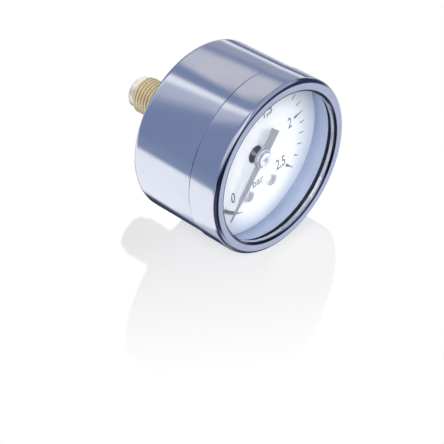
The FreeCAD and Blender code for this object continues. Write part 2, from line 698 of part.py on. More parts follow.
def link():
    """Flat bar with an eye at each end. The upper eye has the open pivot's clearance."""
    half = LINK_WIDTH / 2.0
    middle_x = (TAIL_X + TIP_X) / 2.0
    bar = plate([
        (middle_x - half, TAIL_Z, 0.0), (middle_x + half, TAIL_Z, 0.0),
        (middle_x + half, TIP_Z, 0.0), (middle_x - half, TIP_Z, 0.0),
    ], LINK_BACK, LINK_THICKNESS)
    eyes = [rod(LINK_EYE_DIAMETER, LINK_BACK, LINK_THICKNESS, TAIL_X, TAIL_Z),
            rod(LINK_EYE_DIAMETER, LINK_BACK, LINK_THICKNESS, middle_x, TIP_Z)]
    holes = [
        rod(LINK_PIN_DIAMETER + 2 * RUNNING_CLEARANCE, LINK_BACK, LINK_THICKNESS,
            TAIL_X, TAIL_Z),
        rod(LINK_PIN_DIAMETER + 2 * OPEN_PIVOT_CLEARANCE, LINK_BACK, LINK_THICKNESS,
            TIP_X, TIP_Z),
    ]
    return joined([bar] + eyes).cut(holes)


def link_pin():
    """Headed pin riveted in the sector's tail."""
    head_front = LINK_BACK - END_PLAY
    head = rod(PIN_HEAD_DIAMETER, head_front - PIN_HEAD_HEIGHT, PIN_HEAD_HEIGHT,
               TAIL_X, TAIL_Z)
    shank = rod(LINK_PIN_DIAMETER, head_front, SECTOR_BACK + SECTOR_THICKNESS - head_front,
                TAIL_X, TAIL_Z)
    return head.fuse(shank).removeSplitter()


def involute(angle):
    return math.tan(angle) - angle


def tooth_points(middle, pitch, tip, root, x, z):
    """Corner points of one tooth, counterclockwise seen from the front."""
    base = pitch * math.cos(PRESSURE_ANGLE)
    thickness = MODULE * math.pi / 2.0 - BACKLASH
    at_pitch = thickness / 2.0 / pitch + involute(PRESSURE_ANGLE)
    levels = [root, max(root, base)] + [
        max(root, base) + (tip - max(root, base)) * share for share in (0.35, 0.7, 1.0)]
    flank = []
    for radius in levels:
        slope = math.acos(min(1.0, base / radius)) if radius > base else 0.0
        flank.append((radius, at_pitch - involute(slope)))
    if levels[0] == levels[1]:
        flank = flank[1:]
    centre = math.radians(middle)
    points = [(r, centre - h) for r, h in flank] + [(r, centre + h) for r, h in reversed(flank)]
    return [polar(r, math.degrees(a), x, z) for r, a in points]


def pinion():
    tip = PINION_PITCH + PINION_ADDENDUM
    root = PINION_PITCH - SECTOR_ADDENDUM - TOOTH_CLEARANCE
    pitch_angle = 360.0 / PINION_TEETH
    points = []
    for i in range(PINION_TEETH):
        middle = SECTOR_ANGLE + (i + 0.5) * pitch_angle
        points += tooth_points(middle, PINION_PITCH, tip, root, 0.0, 0.0)
    wheel = plate([(x, z, 0.0) for x, z in points], PINION_BACK, PINION_LENGTH)
    return wheel.cut(rod(ARBOR_DIAMETER, PINION_BACK, PINION_LENGTH))


def sector_gear():
    """Toothed rim on two spokes, a hub, and the tail that the link pushes."""
    tip = SECTOR_PITCH + SECTOR_ADDENDUM
    root = SECTOR_PITCH - PINION_ADDENDUM - TOOTH_CLEARANCE
    pitch_angle = 360.0 / SECTOR_WHOLE_TEETH
    towards_pinion = SECTOR_ANGLE + 180.0
    first = towards_pinion - TEETH_BEFORE_REST * pitch_angle
    last = towards_pinion + TEETH_BEYOND_REST * pitch_angle
    teeth = []
    for i in range(TEETH_BEFORE_REST + TEETH_BEYOND_REST + 1):
        teeth += tooth_points(first + i * pitch_angle, SECTOR_PITCH, tip, root,
                              SECTOR_X, SECTOR_Z)
    margin = pitch_angle / 2.0
    rim_inner = root - SECTOR_RIM
    steps = 8
    inner_arc = []
    for i in range(steps + 1):
        angle = last + margin - (last - first + 2 * margin) * i / steps
        inner_arc.append(polar(rim_inner, angle, SECTOR_X, SECTOR_Z))
    rim = plate([(x, z, 0.0) for x, z in teeth + inner_arc], SECTOR_BACK, SECTOR_THICKNESS)
    hub = rod(SECTOR_HUB_DIAMETER, SECTOR_BACK, SECTOR_THICKNESS, SECTOR_X, SECTOR_Z)
    spokes = []
    half = SECTOR_SPOKE / 2.0
    for angle in (first + SPOKE_INSET_DEGREES, last - SPOKE_INSET_DEGREES):
        spoke = block(0.0, rim_inner + SPOKE_OVERLAP, SECTOR_BACK,
                      SECTOR_BACK + SECTOR_THICKNESS, -half, half)
        spoke.rotate(FreeCAD.Vector(0, 0, 0), FreeCAD.Vector(0, -1, 0), angle)
        spoke.translate(FreeCAD.Vector(SECTOR_X, 0.0, SECTOR_Z))
        spokes.append(spoke)
    half = TAIL_WIDTH / 2.0
    tail = block(0.0, TAIL_LENGTH, SECTOR_BACK, SECTOR_BACK + SECTOR_THICKNESS, -half, half)
    tail.rotate(FreeCAD.Vector(0, 0, 0), FreeCAD.Vector(0, -1, 0), math.degrees(TAIL_ANGLE))
    tail.translate(FreeCAD.Vector(SECTOR_X, 0.0, SECTOR_Z))
    tail_eye = rod(TAIL_WIDTH, SECTOR_BACK, SECTOR_THICKNESS, TAIL_X, TAIL_Z)
    holes = [
        rod(SECTOR_ARBOR_DIAMETER, SECTOR_BACK, SECTOR_THICKNESS, SECTOR_X, SECTOR_Z),
        rod(LINK_PIN_DIAMETER, SECTOR_BACK, SECTOR_THICKNESS, TAIL_X, TAIL_Z),
    ]
    return joined([rim, hub, tail, tail_eye] + spokes).cut(holes)


def sector_arbor():
    body_back = BACK_PLATE_FRONT + END_PLAY
    body = rod(SECTOR_ARBOR_DIAMETER, body_back, PLATE_SPACING - 2 * END_PLAY,
               SECTOR_X, SECTOR_Z)
    pivots = rod(SECTOR_PIVOT_DIAMETER, FLANGE_FRONT + END_PLAY,
                 FRONT_PLATE_FRONT - FLANGE_FRONT, SECTOR_X, SECTOR_Z)
    return joined([body, pivots])


def centre_arbor():
    """Pinion's arbor, from the back plate through the dial to the pointer's hub."""
    shaft_back = BACK_PLATE_FRONT + END_PLAY
    pivot = rod(BACK_PIVOT_DIAMETER, FLANGE_FRONT + END_PLAY, PLATE_THICKNESS + BACK_PIVOT_ROOT)
    shaft = rod(ARBOR_DIAMETER, shaft_back, ARBOR_END - shaft_back)
    journal_back = FRONT_PLATE_BACK - END_PLAY
    journal = rod(BEARING_DIAMETER, journal_back, DIAL_BACK - journal_back)
    return joined([pivot, shaft, journal])


def movement_plate(back, holes):
    """Three-cornered plate around the pillars and the sector's pivot."""
    corners = [(PILLAR_X, PILLAR_Z), (-PILLAR_X, -PILLAR_Z), (SECTOR_X, SECTOR_Z)]
    edges = [at(x, back, z) for x, z in corners]
    wire = Part.makePolygon(edges + [edges[0]])
    outline = wire.makeOffset2D(PLATE_MARGIN, 0)
    body = Part.Face(outline).extrude(FreeCAD.Vector(0, -PLATE_THICKNESS, 0))
    pillar_bore = PILLAR_SCREW_DIAMETER + 2 * SCREW_CLEARANCE
    cuts = [rod(diameter, back, PLATE_THICKNESS, x, z) for diameter, x, z in holes]
    for side in (-1, 1):
        cuts.append(rod(pillar_bore, back, PLATE_THICKNESS, side * PILLAR_X, side * PILLAR_Z))
    return body.cut(cuts)


def movement_back_plate():
    pivot = SECTOR_PIVOT_DIAMETER + 2 * RUNNING_CLEARANCE
    screw = MOVEMENT_SCREW_DIAMETER + 2 * SCREW_CLEARANCE
    holes = [(BACK_PIVOT_DIAMETER + 2 * RUNNING_CLEARANCE, 0.0, 0.0),
             (pivot, SECTOR_X, SECTOR_Z)]
    holes += [(screw, x, z) for x, z in MOVEMENT_SCREW_PLACES]
    return movement_plate(FLANGE_FRONT, holes)


def movement_front_plate():
    holes = [(BEARING_DIAMETER + 2 * RUNNING_CLEARANCE, 0.0, 0.0),
             (SECTOR_PIVOT_DIAMETER + 2 * RUNNING_CLEARANCE, SECTOR_X, SECTOR_Z)]
    return movement_plate(FRONT_PLATE_BACK, holes)


def movement_pillar(side):
    x, z = side * PILLAR_X, side * PILLAR_Z
    body = rod(PILLAR_DIAMETER, BACK_PLATE_FRONT, PLATE_SPACING, x, z)
    stud = rod(PILLAR_SCREW_DIAMETER, FLANGE_FRONT,
               FRONT_PLATE_FRONT + NUT_THICKNESS - FLANGE_FRONT, x, z)
    return joined([body, stud])


def movement_nut(side):
    x, z = side * PILLAR_X, side * PILLAR_Z
    nut = hexagon(NUT_WIDTH, FRONT_PLATE_FRONT, NUT_THICKNESS, x, z)
    return nut.cut(rod(PILLAR_SCREW_DIAMETER, FRONT_PLATE_FRONT, NUT_THICKNESS, x, z))


def movement_screw(x, z):
    head = rod(MOVEMENT_SCREW_HEAD, BACK_PLATE_FRONT, MOVEMENT_SCREW_HEAD_HEIGHT, x, z)
    start = FLANGE_FRONT - MOVEMENT_SCREW_LENGTH + MOVEMENT_SCREW_TIP_GAP
    shank = rod(MOVEMENT_SCREW_DIAMETER, start, BACK_PLATE_FRONT - start, x, z)
    front = BACK_PLATE_FRONT + MOVEMENT_SCREW_HEAD_HEIGHT
    half = FINE_SLOT_WIDTH / 2.0
    reach = MOVEMENT_SCREW_HEAD
    slot = block(x - reach, x + reach, front - MOVEMENT_SCREW_SLOT, front, z - half, z + half)
    return head.fuse(shank).removeSplitter().cut(slot)


def spiral_point(turns, offset):
    growth = (SPRING_OUTER_RADIUS - SPRING_INNER_RADIUS) / SPRING_TURNS
    radius = SPRING_INNER_RADIUS + growth * turns + offset
    x, z = polar(radius, 180.0 + 360.0 * turns)
    return at(x, SPRING_BACK, z)


def hairspring():
    """Flat spiral ribbon from the collet out to the stud."""
    per_turn = 16
    steps = per_turn * SPRING_TURNS
    half = SPRING_THICKNESS / 2.0
    sides = []
    for offset in (-half, half):
        curve = Part.BSplineCurve()
        curve.interpolate([spiral_point(i / per_turn, offset) for i in range(steps + 1)])
        sides.append(curve.toShape())
    caps = [Part.makeLine(spiral_point(turn, -half), spiral_point(turn, half))
            for turn in (0.0, float(SPRING_TURNS))]
    wire = Part.Wire(Part.__sortEdges__(sides + caps))
    return Part.Face(wire).extrude(FreeCAD.Vector(0, -SPRING_HEIGHT, 0))


def hairspring_collet():
    back = SPRING_BACK + (SPRING_HEIGHT - COLLET_LENGTH) / 2.0
    ring = rod(COLLET_DIAMETER, back, COLLET_LENGTH)
    return ring.cut(rod(ARBOR_DIAMETER, back, COLLET_LENGTH))


def hairspring_stud():
    x = -SPRING_OUTER_RADIUS - SPRING_THICKNESS / 2.0 - STUD_DIAMETER / 2.0
    return rod(STUD_DIAMETER, BACK_PLATE_FRONT, STUD_HEIGHT, x)


def pointer_points(pairs):
    """Turn (along, across) pairs to the pointer's resting direction."""
    angle = math.radians(POINTER_ANGLE)
    c, s = math.cos(angle), math.sin(angle)
    return [(a * c - b * s, a * s + b * c, 0.0) for a, b in pairs]


def pointer():
    """Strip with a broad tail, a disc under the hub and a stepped needle."""
    tail_half = TAIL_STRIP_WIDTH / 2.0
    tail = plate(pointer_points([
        (-TAIL_REACH, -tail_half), (0.0, -tail_half), (0.0, tail_half),
        (-TAIL_REACH, tail_half),
    ]), POINTER_BACK, POINTER_THICKNESS)
    root, step = ARM_ROOT_WIDTH / 2.0, ARM_WIDTH_AT_STEP / 2.0
    needle, tip = NEEDLE_WIDTH / 2.0, NEEDLE_TIP_WIDTH / 2.0
    arm = plate(pointer_points([
        (0.0, -root), (ARM_STEP_RADIUS, -step), (NEEDLE_RADIUS, -needle),
        (NEEDLE_TIP_RADIUS - NEEDLE_POINT, -tip), (NEEDLE_TIP_RADIUS, 0.0),
        (NEEDLE_TIP_RADIUS - NEEDLE_POINT, tip), (NEEDLE_RADIUS, needle),
        (ARM_STEP_RADIUS, step), (0.0, root),
    ]), POINTER_BACK, POINTER_THICKNESS)
    disc = rod(POINTER_DISC_DIAMETER, POINTER_BACK, POINTER_THICKNESS)
    hole = rod(HUB_SPIGOT_DIAMETER, POINTER_BACK, POINTER_THICKNESS)
    return joined([disc, tail, arm]).cut(hole)


def pointer_hub():
    """Turned hub with two steps, riveted in the pointer's disc."""
    bore = ARBOR_DIAMETER / 2.0
    base = HUB_BASE_DIAMETER / 2.0
    top = HUB_TOP_DIAMETER / 2.0
    spigot = HUB_SPIGOT_DIAMETER / 2.0
    seat = POINTER_BACK + POINTER_THICKNESS
    shoulder = seat + HUB_BASE_HEIGHT
    return turned([
        (bore, POINTER_BACK - HUB_SPIGOT_LENGTH, 0.0),
        (spigot, POINTER_BACK - HUB_SPIGOT_LENGTH, 0.0),
        (spigot, seat, 0.0),
        (base, seat, 0.0),
        (base, shoulder, HUB_EDGE),
        (top, shoulder, 0.0),
        (top, HUB_FRONT, HUB_EDGE),
        (bore, HUB_FRONT, 0.0),
    ])


NODES = {
    "socket": socket(),
    "restrictor_screw": restrictor_screw(),
    "case_cup": case_cup(),
    "case_gasket": case_gasket(),
    "case_screw_left": case_screw(-1),
    "case_screw_right": case_screw(1),
    "blow_out_plug": blow_out_plug(),
    "bezel_ring": bezel_ring(),
    "window": window(),
    "window_gasket": window_gasket(),
    "inner_ring": inner_ring(),
    "dial": dial(),
    "dial_post_left": dial_post(-1),
    "dial_post_right": dial_post(1),
    "dial_screw_left": dial_screw(-1),
    "dial_screw_right": dial_screw(1),
    "bourdon_tube": bourdon_tube(),
    "tube_end_piece": tube_end_piece(),
    "link_screw": link_screw(),
    "link": link(),
    "link_pin": link_pin(),
    "sector_gear": sector_gear(),
    "sector_arbor": sector_arbor(),
    "pinion": pinion(),
    "centre_arbor": centre_arbor(),
    "hairspring": hairspring(),
    "hairspring_collet": hairspring_collet(),
    "hairspring_stud": hairspring_stud(),
    "movement_back_plate": movement_back_plate(),
    "movement_front_plate": movement_front_plate(),
    "movement_pillar_left": movement_pillar(-1),
    "movement_pillar_right": movement_pillar(1),
    "movement_nut_left": movement_nut(-1),
    "movement_nut_right": movement_nut(1),
    "movement_screw_left": movement_screw(*MOVEMENT_SCREW_PLACES[0]),
    "movement_screw_right": movement_screw(*MOVEMENT_SCREW_PLACES[1]),
    "pointer": pointer(),
    "pointer_hub": pointer_hub(),
}

for name, shape in NODES.items():
    shape.exportStep(os.path.join("parts", name + ".step"))
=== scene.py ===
import math

import bmesh
import bpy
import numpy as np
from mathutils import Euler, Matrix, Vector


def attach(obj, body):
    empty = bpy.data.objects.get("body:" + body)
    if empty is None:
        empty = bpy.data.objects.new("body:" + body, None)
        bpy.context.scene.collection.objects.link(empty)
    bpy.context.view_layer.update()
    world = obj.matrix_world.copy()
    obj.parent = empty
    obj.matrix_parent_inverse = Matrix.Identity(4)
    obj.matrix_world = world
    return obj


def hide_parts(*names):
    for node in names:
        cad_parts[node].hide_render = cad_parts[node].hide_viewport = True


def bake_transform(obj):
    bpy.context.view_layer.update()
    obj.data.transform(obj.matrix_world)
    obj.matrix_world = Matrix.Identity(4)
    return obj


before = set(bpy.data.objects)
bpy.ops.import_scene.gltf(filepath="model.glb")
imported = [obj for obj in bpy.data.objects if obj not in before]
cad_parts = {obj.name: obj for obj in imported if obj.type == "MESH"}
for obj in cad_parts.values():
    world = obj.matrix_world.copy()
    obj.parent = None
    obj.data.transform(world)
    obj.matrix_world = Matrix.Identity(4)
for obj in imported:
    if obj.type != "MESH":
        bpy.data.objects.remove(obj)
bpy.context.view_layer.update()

# Sizes in millimetres, as on the gauge. A depth is counted from the stem's end
# face towards the dial, so a point at depth d lies at y = -d.
MM = 0.001
AROUND = 288

PILOT_RADIUS = 5.6
PILOT_LENGTH = 2.5
PILOT_EDGE = 0.4
THREAD_RADIUS = 6.5785
THREAD_PITCH = 1.337
THREAD_HEIGHT = 0.856
THREAD_LENGTH = 13.0
RELIEF_RADIUS = 5.5
FLATS_START = 15.0
FLATS_HALF = 7.0
COLLAR_RADIUS = 9.0
FLANGE_RADIUS = 15.0
INLET_RADIUS = 2.5
INLET_DEPTH = 6.0

CASE_BACK = 28.6
CASE_RADIUS = 31.0
CASE_WALL = 0.8
CASE_HOLE_RADIUS = 9.1
CASE_SHOULDER = 54.8
NECK_BACK = 54.9
NECK_RADIUS = 30.55

RING_BACK = 55.4
RING_FRONT = 66.95
RING_RADIUS = 31.4
RING_BORE_RADIUS = 30.6
LIP_RADIUS = 26.9
LIP_SLOPE_RADIUS = 27.55
LIP_SLOPE_BACK = 66.3

DIAL_FACE = 54.2
DIAL_THICKNESS = 0.5
DIAL_RADIUS = 29.72
DIAL_HOLE_RADIUS = 3.2
SPACER_RADIUS = 29.6
SPACER_BORE_RADIUS = 29.3
SPACER_LIP_RADIUS = 28.3
SPACER_LENGTH = 4.9
GASKET_BACK = 61.9
GASKET_RADIUS = 27.6
WINDOW_BACK = 63.0
WINDOW_FRONT = 65.0
WINDOW_RADIUS = 30.4
GASKET_GAP = 0.03
LIP_GAP = 0.02

POINTER_FRONT = 57.3
HUB_BACK = POINTER_FRONT - 1.2
HUB_STEP = POINTER_FRONT + 0.7
HUB_FRONT = POINTER_FRONT + 1.5
HUB_BORE_RADIUS = 0.7
HUB_SLEEVE_RADIUS = 1.6
HUB_FLANGE_RADIUS = 3.4
HUB_BOSS_RADIUS = 2.6

COLLAR_START = CASE_BACK - 2.4
FLANGE_BACK = CASE_BACK + CASE_WALL + 0.5
FLANGE_FRONT = FLANGE_BACK + 5.5
TUBE_CENTRE = FLANGE_FRONT + 5.8
TUBE_RADIUS = 20.0
HOLDER_FRONT = TUBE_CENTRE + 5.4
TUBE_ROOT = -92.0
TUBE_END = -348.0

SCALE_START = 225.0
SCALE_SWEEP = 270.0
SCALE_TOP = 2.5


# ---- surfaces on grids ----

def rounded(corners, arc_steps=7):
    """Closed outline through (u, v, fillet) corners. Each fillet is an arc about
    the centre that lies on the corner's bisector at fillet / sin(half angle)."""
    points = []
    for i, (u, v, fillet) in enumerate(corners):
        here = np.array([u, v], float)
        if fillet == 0.0:
            points.append(here[None, :])
            continue
        to_last = np.array(corners[i - 1][:2], float) - here
        to_next = np.array(corners[(i + 1) % len(corners)][:2], float) - here
        to_last /= np.linalg.norm(to_last)
        to_next /= np.linalg.norm(to_next)
        half = math.acos(np.clip(to_last @ to_next, -1.0, 1.0)) / 2.0
        middle = (to_last + to_next) / np.linalg.norm(to_last + to_next)
        centre = here + middle * fillet / math.sin(half)
        start = here + to_last * fillet / math.tan(half) - centre
        end = here + to_next * fillet / math.tan(half) - centre
        turn = math.atan2(start[0] * end[1] - start[1] * end[0], start @ end)
        a = np.linspace(0.0, turn, arc_steps)[:, None]
        side = np.array([-start[1], start[0]])
        points.append(centre + np.cos(a) * start + np.sin(a) * side)
    return np.concatenate(points)


def grid_piece(name, points, close_rows=False, close_columns=False, sharp=32.0):
    """Object from a grid of points in millimetres, shape (rows, columns, 3). Cell
    (i, j) is the quad between rows i, i+1 and columns j, j+1."""
    rows, columns = points.shape[:2]
    i = np.arange(rows if close_rows else rows - 1)[:, None]
    j = np.arange(columns if close_columns else columns - 1)[None, :]
    i2, j2 = (i + 1) % rows, (j + 1) % columns
    quads = np.stack(np.broadcast_arrays(i * columns + j, i * columns + j2,
                                         i2 * columns + j2, i2 * columns + j), -1)
    return raw_piece(name, points.reshape(-1, 3), quads.reshape(-1, 4), sharp)


def raw_piece(name, points, faces, sharp=32.0):
    """Object from points in millimetres and faces: doubles merged, ends closed,
    normals outward, edges over the sharp angle kept crisp."""
    mesh = bpy.data.meshes.new(name)
    mesh.from_pydata((np.asarray(points) * MM).tolist(), [], np.asarray(faces).tolist())
    work = bmesh.new()
    work.from_mesh(mesh)
    bmesh.ops.remove_doubles(work, verts=work.verts, dist=2e-7)
    bmesh.ops.dissolve_degenerate(work, edges=work.edges, dist=1e-7)
    open_edges = [edge for edge in work.edges if edge.is_boundary]
    if open_edges:
        bmesh.ops.holes_fill(work, edges=open_edges, sides=0)
    bmesh.ops.recalc_face_normals(work, faces=work.faces)
    work.to_mesh(mesh)
    work.free()
    mesh.shade_smooth()
    mesh.set_sharp_from_angle(angle=math.radians(sharp))
    piece = bpy.data.objects.new(name, mesh)
    bpy.context.scene.collection.objects.link(piece)
    return piece


def turned_piece(name, corners, around=AROUND, arc_steps=7, sharp=32.0):
    """Revolved outline: x = r cos a, y = -depth, z = r sin a."""
    outline = rounded(corners, arc_steps)
    a = np.linspace(0.0, 2.0 * np.pi, around, endpoint=False)[None, :]
    r, depth = outline[:, :1], outline[:, 1:]
    points = np.stack([r * np.cos(a), np.broadcast_to(-depth, (len(outline), around)),
                       r * np.sin(a)], -1)
    return grid_piece(name, points, close_rows=True, close_columns=True, sharp=sharp)


def joined(name, pieces):
    """One object from several, all with their place in their meshes."""
    work = bmesh.new()
    for piece in pieces:
        work.from_mesh(piece.data)
        bpy.data.objects.remove(piece)
    mesh = bpy.data.meshes.new(name)
    work.to_mesh(mesh)
    work.free()
    piece = bpy.data.objects.new(name, mesh)
    bpy.context.scene.collection.objects.link(piece)
    return piece


def slab(name, outline, back, front, sharp=32.0):
    """Flat piece: the (x, z) outline at depth back and again at depth front."""
    x, z = outline[:, 0], outline[:, 1]
    ends = [np.stack([x, np.full_like(x, -depth), z], -1) for depth in (back, front)]
    return grid_piece(name, np.stack(ends), close_columns=True, sharp=sharp)


# ---- finishes ----

def new_material(name):
    material = bpy.data.materials.new(name)
    material.use_nodes = True
    return material, material.node_tree, material.node_tree.nodes["Principled BSDF"]


def add(tree, kind, settings=None, **inputs):
    """Node of that kind. An input is named with _ for a space, or n0, n1 by place."""
    node = tree.nodes.new(kind)
    for key, value in (settings or {}).items():
        setattr(node, key, value)
    for key, value in inputs.items():
        place = int(key[1:]) if key[0] == "n" and key[1:].isdigit() else key.replace("_", " ")
        if isinstance(value, bpy.types.NodeSocket):
            tree.links.new(value, node.inputs[place])
        else:
            node.inputs[place].default_value = value
    return node


def maths(tree, operation, *values):
    inputs = {"n%d" % i: value for i, value in enumerate(values)}
    return add(tree, "ShaderNodeMath", {"operation": operation}, **inputs).outputs[0]


def new_group(name, inputs, outputs):
    tree = bpy.data.node_groups.new(name, "ShaderNodeTree")
    for label, value in inputs:
        socket = tree.interface.new_socket(name=label, in_out="INPUT", socket_type="NodeSocketFloat")
        socket.default_value = value
    for label in outputs:
        tree.interface.new_socket(name=label, in_out="OUTPUT", socket_type="NodeSocketFloat")
    return tree, add(tree, "NodeGroupInput"), add(tree, "NodeGroupOutput")


def lathe_marks():
    """Fine rings around the gauge's axis, from noise that is stretched along the
    turning direction. Scale is rings per metre, Break how soon a ring fades."""
    tree, given, out = new_group("lathe_marks", [("Scale", 6000.0), ("Break", 2.0)], ["Height"])
    place = add(tree, "ShaderNodeTexCoord").outputs["Object"]
    axes = add(tree, "ShaderNodeSeparateXYZ", n0=place).outputs
    x, y, z = axes[0], axes[1], axes[2]
    radius = maths(tree, "SQRT", maths(tree, "ADD", maths(tree, "MULTIPLY", x, x),
                                       maths(tree, "MULTIPLY", z, z)))
    angle = maths(tree, "ARCTAN2", z, x)
    across = maths(tree, "MULTIPLY", maths(tree, "ADD", radius, y), given.outputs["Scale"])
    along = maths(tree, "MULTIPLY", angle, given.outputs["Break"])
    where = add(tree, "ShaderNodeCombineXYZ", n0=across, n1=along).outputs[0]
    noise = add(tree, "ShaderNodeTexNoise", Vector=where, Scale=1.0, Detail=2.0).outputs["Fac"]
    tree.links.new(noise, out.inputs["Height"])
    return tree


def handling_marks():
    """Faint smudges and specks of dust. Size is smudges per metre."""
    tree, given, out = new_group("handling_marks", [("Size", 60.0)], ["Smudge", "Dust"])
    place = add(tree, "ShaderNodeTexCoord").outputs["Object"]
    broad = add(tree, "ShaderNodeTexNoise", Vector=place, Scale=given.outputs["Size"],
                Detail=5.0, Roughness=0.6).outputs["Fac"]
    smudge = add(tree, "ShaderNodeMapRange", Value=broad, From_Min=0.45, From_Max=0.72).outputs[0]
    fine = add(tree, "ShaderNodeTexNoise", Vector=place, Scale=2600.0, Detail=1.0).outputs["Fac"]
    dust = add(tree, "ShaderNodeMapRange", Value=fine, From_Min=0.72, From_Max=0.80).outputs[0]
    tree.links.new(smudge, out.inputs["Smudge"])
    tree.links.new(dust, out.inputs["Dust"])
    return tree


LATHE = lathe_marks()
HANDLING = handling_marks()


def use_group(tree, group, **inputs):
    node = tree.nodes.new("ShaderNodeGroup")
    node.node_tree = group
    for key, value in inputs.items():
        node.inputs[key].default_value = value
    return node.outputs


def tinted(tree, mask, plain, marked):
    """Colour that goes from plain to marked where the mask is 1."""
    mix = add(tree, "ShaderNodeMix", {"data_type": "RGBA"}, n0=mask)
    mix.inputs[6].default_value = plain + (1.0,)
    mix.inputs[7].default_value = marked + (1.0,)
    return mix.outputs[2]


def metal(name, colour, marked, roughness, spread, rings, depth, smudge_size=60.0, metallic=1.0):
    """Bare metal: lathe rings in the bump, smudges in roughness and colour."""
    material, tree, shader = new_material(name)
    marks = use_group(tree, LATHE, Scale=rings, Break=2.5)
    worn = use_group(tree, HANDLING, Size=smudge_size)
    shader.inputs["Metallic"].default_value = metallic
    tree.links.new(tinted(tree, worn["Smudge"], colour, marked), shader.inputs["Base Color"])
    rough = add(tree, "ShaderNodeMapRange", Value=worn["Smudge"], To_Min=roughness,
                To_Max=roughness + spread).outputs[0]
    tree.links.new(rough, shader.inputs["Roughness"])
    bump = add(tree, "ShaderNodeBump", Height=marks["Height"], Strength=depth, Distance=0.00002)
    tree.links.new(bump.outputs[0], shader.inputs["Normal"])
    return material


def coated(name, colour, marked, roughness, grain, depth, distance=0.00003, gloss=0.5):
    """Paint, ink or rubber: a fine grain in the bump and dust in the colour."""
    material, tree, shader = new_material(name)
    worn = use_group(tree, HANDLING, Size=90.0)
    tree.links.new(tinted(tree, worn["Smudge"], colour, marked), shader.inputs["Base Color"])
    shader.inputs["Roughness"].default_value = roughness
    shader.inputs["Specular IOR Level"].default_value = gloss
    place = add(tree, "ShaderNodeTexCoord").outputs["Object"]
    fine = add(tree, "ShaderNodeTexNoise", Vector=place, Scale=grain, Detail=3.0).outputs["Fac"]
    bump = add(tree, "ShaderNodeBump", Height=fine, Strength=depth, Distance=distance)
    tree.links.new(bump.outputs[0], shader.inputs["Normal"])
    return material


def window_material():
    """Clear glass that lets lamps through to the dial."""
    material, tree, shader = new_material("window_glass")
    shader.inputs["Base Color"].default_value = (0.97, 0.985, 1.0, 1.0)
    shader.inputs["Roughness"].default_value = 0.0
    shader.inputs["IOR"].default_value = 1.5
    shader.inputs["Specular Tint"].default_value = (0.03, 0.03, 0.035, 1.0)
    shader.inputs["Transmission Weight"].default_value = 1.0
    path = add(tree, "ShaderNodeLightPath")
    clear = add(tree, "ShaderNodeBsdfTransparent", Color=(0.97, 0.98, 1.0, 1.0))
    mix = add(tree, "ShaderNodeMixShader", n0=path.outputs["Is Shadow Ray"],
              n1=shader.outputs[0], n2=clear.outputs[0])
    tree.links.new(mix.outputs[0], tree.nodes["Material Output"].inputs["Surface"])
    return material


def off_axis(tree):
    """Distance from the gauge's axis, sqrt(x * x + z * z)."""
    place = add(tree, "ShaderNodeTexCoord").outputs["Object"]
    axes = add(tree, "ShaderNodeSeparateXYZ", n0=place).outputs
    flat = add(tree, "ShaderNodeCombineXYZ", n0=axes[0], n1=axes[2]).outputs[0]
    return add(tree, "ShaderNodeVectorMath", {"operation": "LENGTH"}, n0=flat).outputs["Value"]


def over_colour(tree, shader, mask, colour):
    """Lays a colour over the shader's base where the mask is 1."""
    under = shader.inputs["Base Color"].links[0].from_socket
    mix = add(tree, "ShaderNodeMix", {"data_type": "RGBA"}, n0=mask)
    tree.links.new(under, mix.inputs[6])
    mix.inputs[7].default_value = colour + (1.0,)
    tree.links.new(mix.outputs[2], shader.inputs["Base Color"])


def ring_material():
    """Polished steel with a painted dark line of shade and dark reflection where the
    lip's slope meets its face, and painted shade darkening the wall inside the opening."""
    material = metal("ring_steel", (0.76, 0.79, 0.87), (0.72, 0.75, 0.83), 0.14, 0.05, 9000.0, 0.12)
    tree = material.node_tree
    radius = off_axis(tree)
    # Painted shade and dark reflection: a dark line on the lip's slope, 27.05 to 28.0 mm off the axis.
    rise = add(tree, "ShaderNodeMapRange", Value=radius, From_Min=0.02705, From_Max=0.0273).outputs[0]
    fall = add(tree, "ShaderNodeMapRange", Value=radius, From_Min=0.0277, From_Max=0.0280,
               To_Min=1.0, To_Max=0.0).outputs[0]
    line = maths(tree, "MULTIPLY", rise, fall)
    shader = tree.nodes["Principled BSDF"]
    over_colour(tree, shader, line, (0.10, 0.11, 0.16))
    # Painted shade: the lip's inner wall, inside 26.92 to 27.02 mm, is made darker.
    wall = add(tree, "ShaderNodeMapRange", Value=radius, From_Min=0.02692, From_Max=0.02702,
               To_Min=1.0, To_Max=0.0).outputs[0]
    over_colour(tree, shader, wall, (0.48, 0.49, 0.56))
    return material


def hub_material():
    """Pale turned metal: a painted reflection tints the flange lavender, and painted shade draws dark lines
    where the hub's steps meet.
    """
    material = metal("hub_metal", (0.92, 0.92, 0.95), (0.88, 0.88, 0.91), 0.26, 0.08, 12000.0, 0.15,
                     300.0, metallic=0.3)
    tree = material.node_tree
    radius = off_axis(tree)
    shader = tree.nodes["Principled BSDF"]
    # Painted reflection: the flange outside the boss is tinted a darker lavender.
    step = maths(tree, "GREATER_THAN", radius, HUB_BOSS_RADIUS * MM)
    over_colour(tree, shader, step, (0.62, 0.64, 0.80))
    # Painted shade: dark lines at the rounded edges of the boss and the flange.
    for inner, outer in ((0.0025, 0.0028), (0.0033, 0.0035)):
        rise = maths(tree, "GREATER_THAN", radius, inner)
        fall = maths(tree, "LESS_THAN", radius, outer)
        over_colour(tree, shader, maths(tree, "MULTIPLY", rise, fall), (0.34, 0.33, 0.37))
    return material


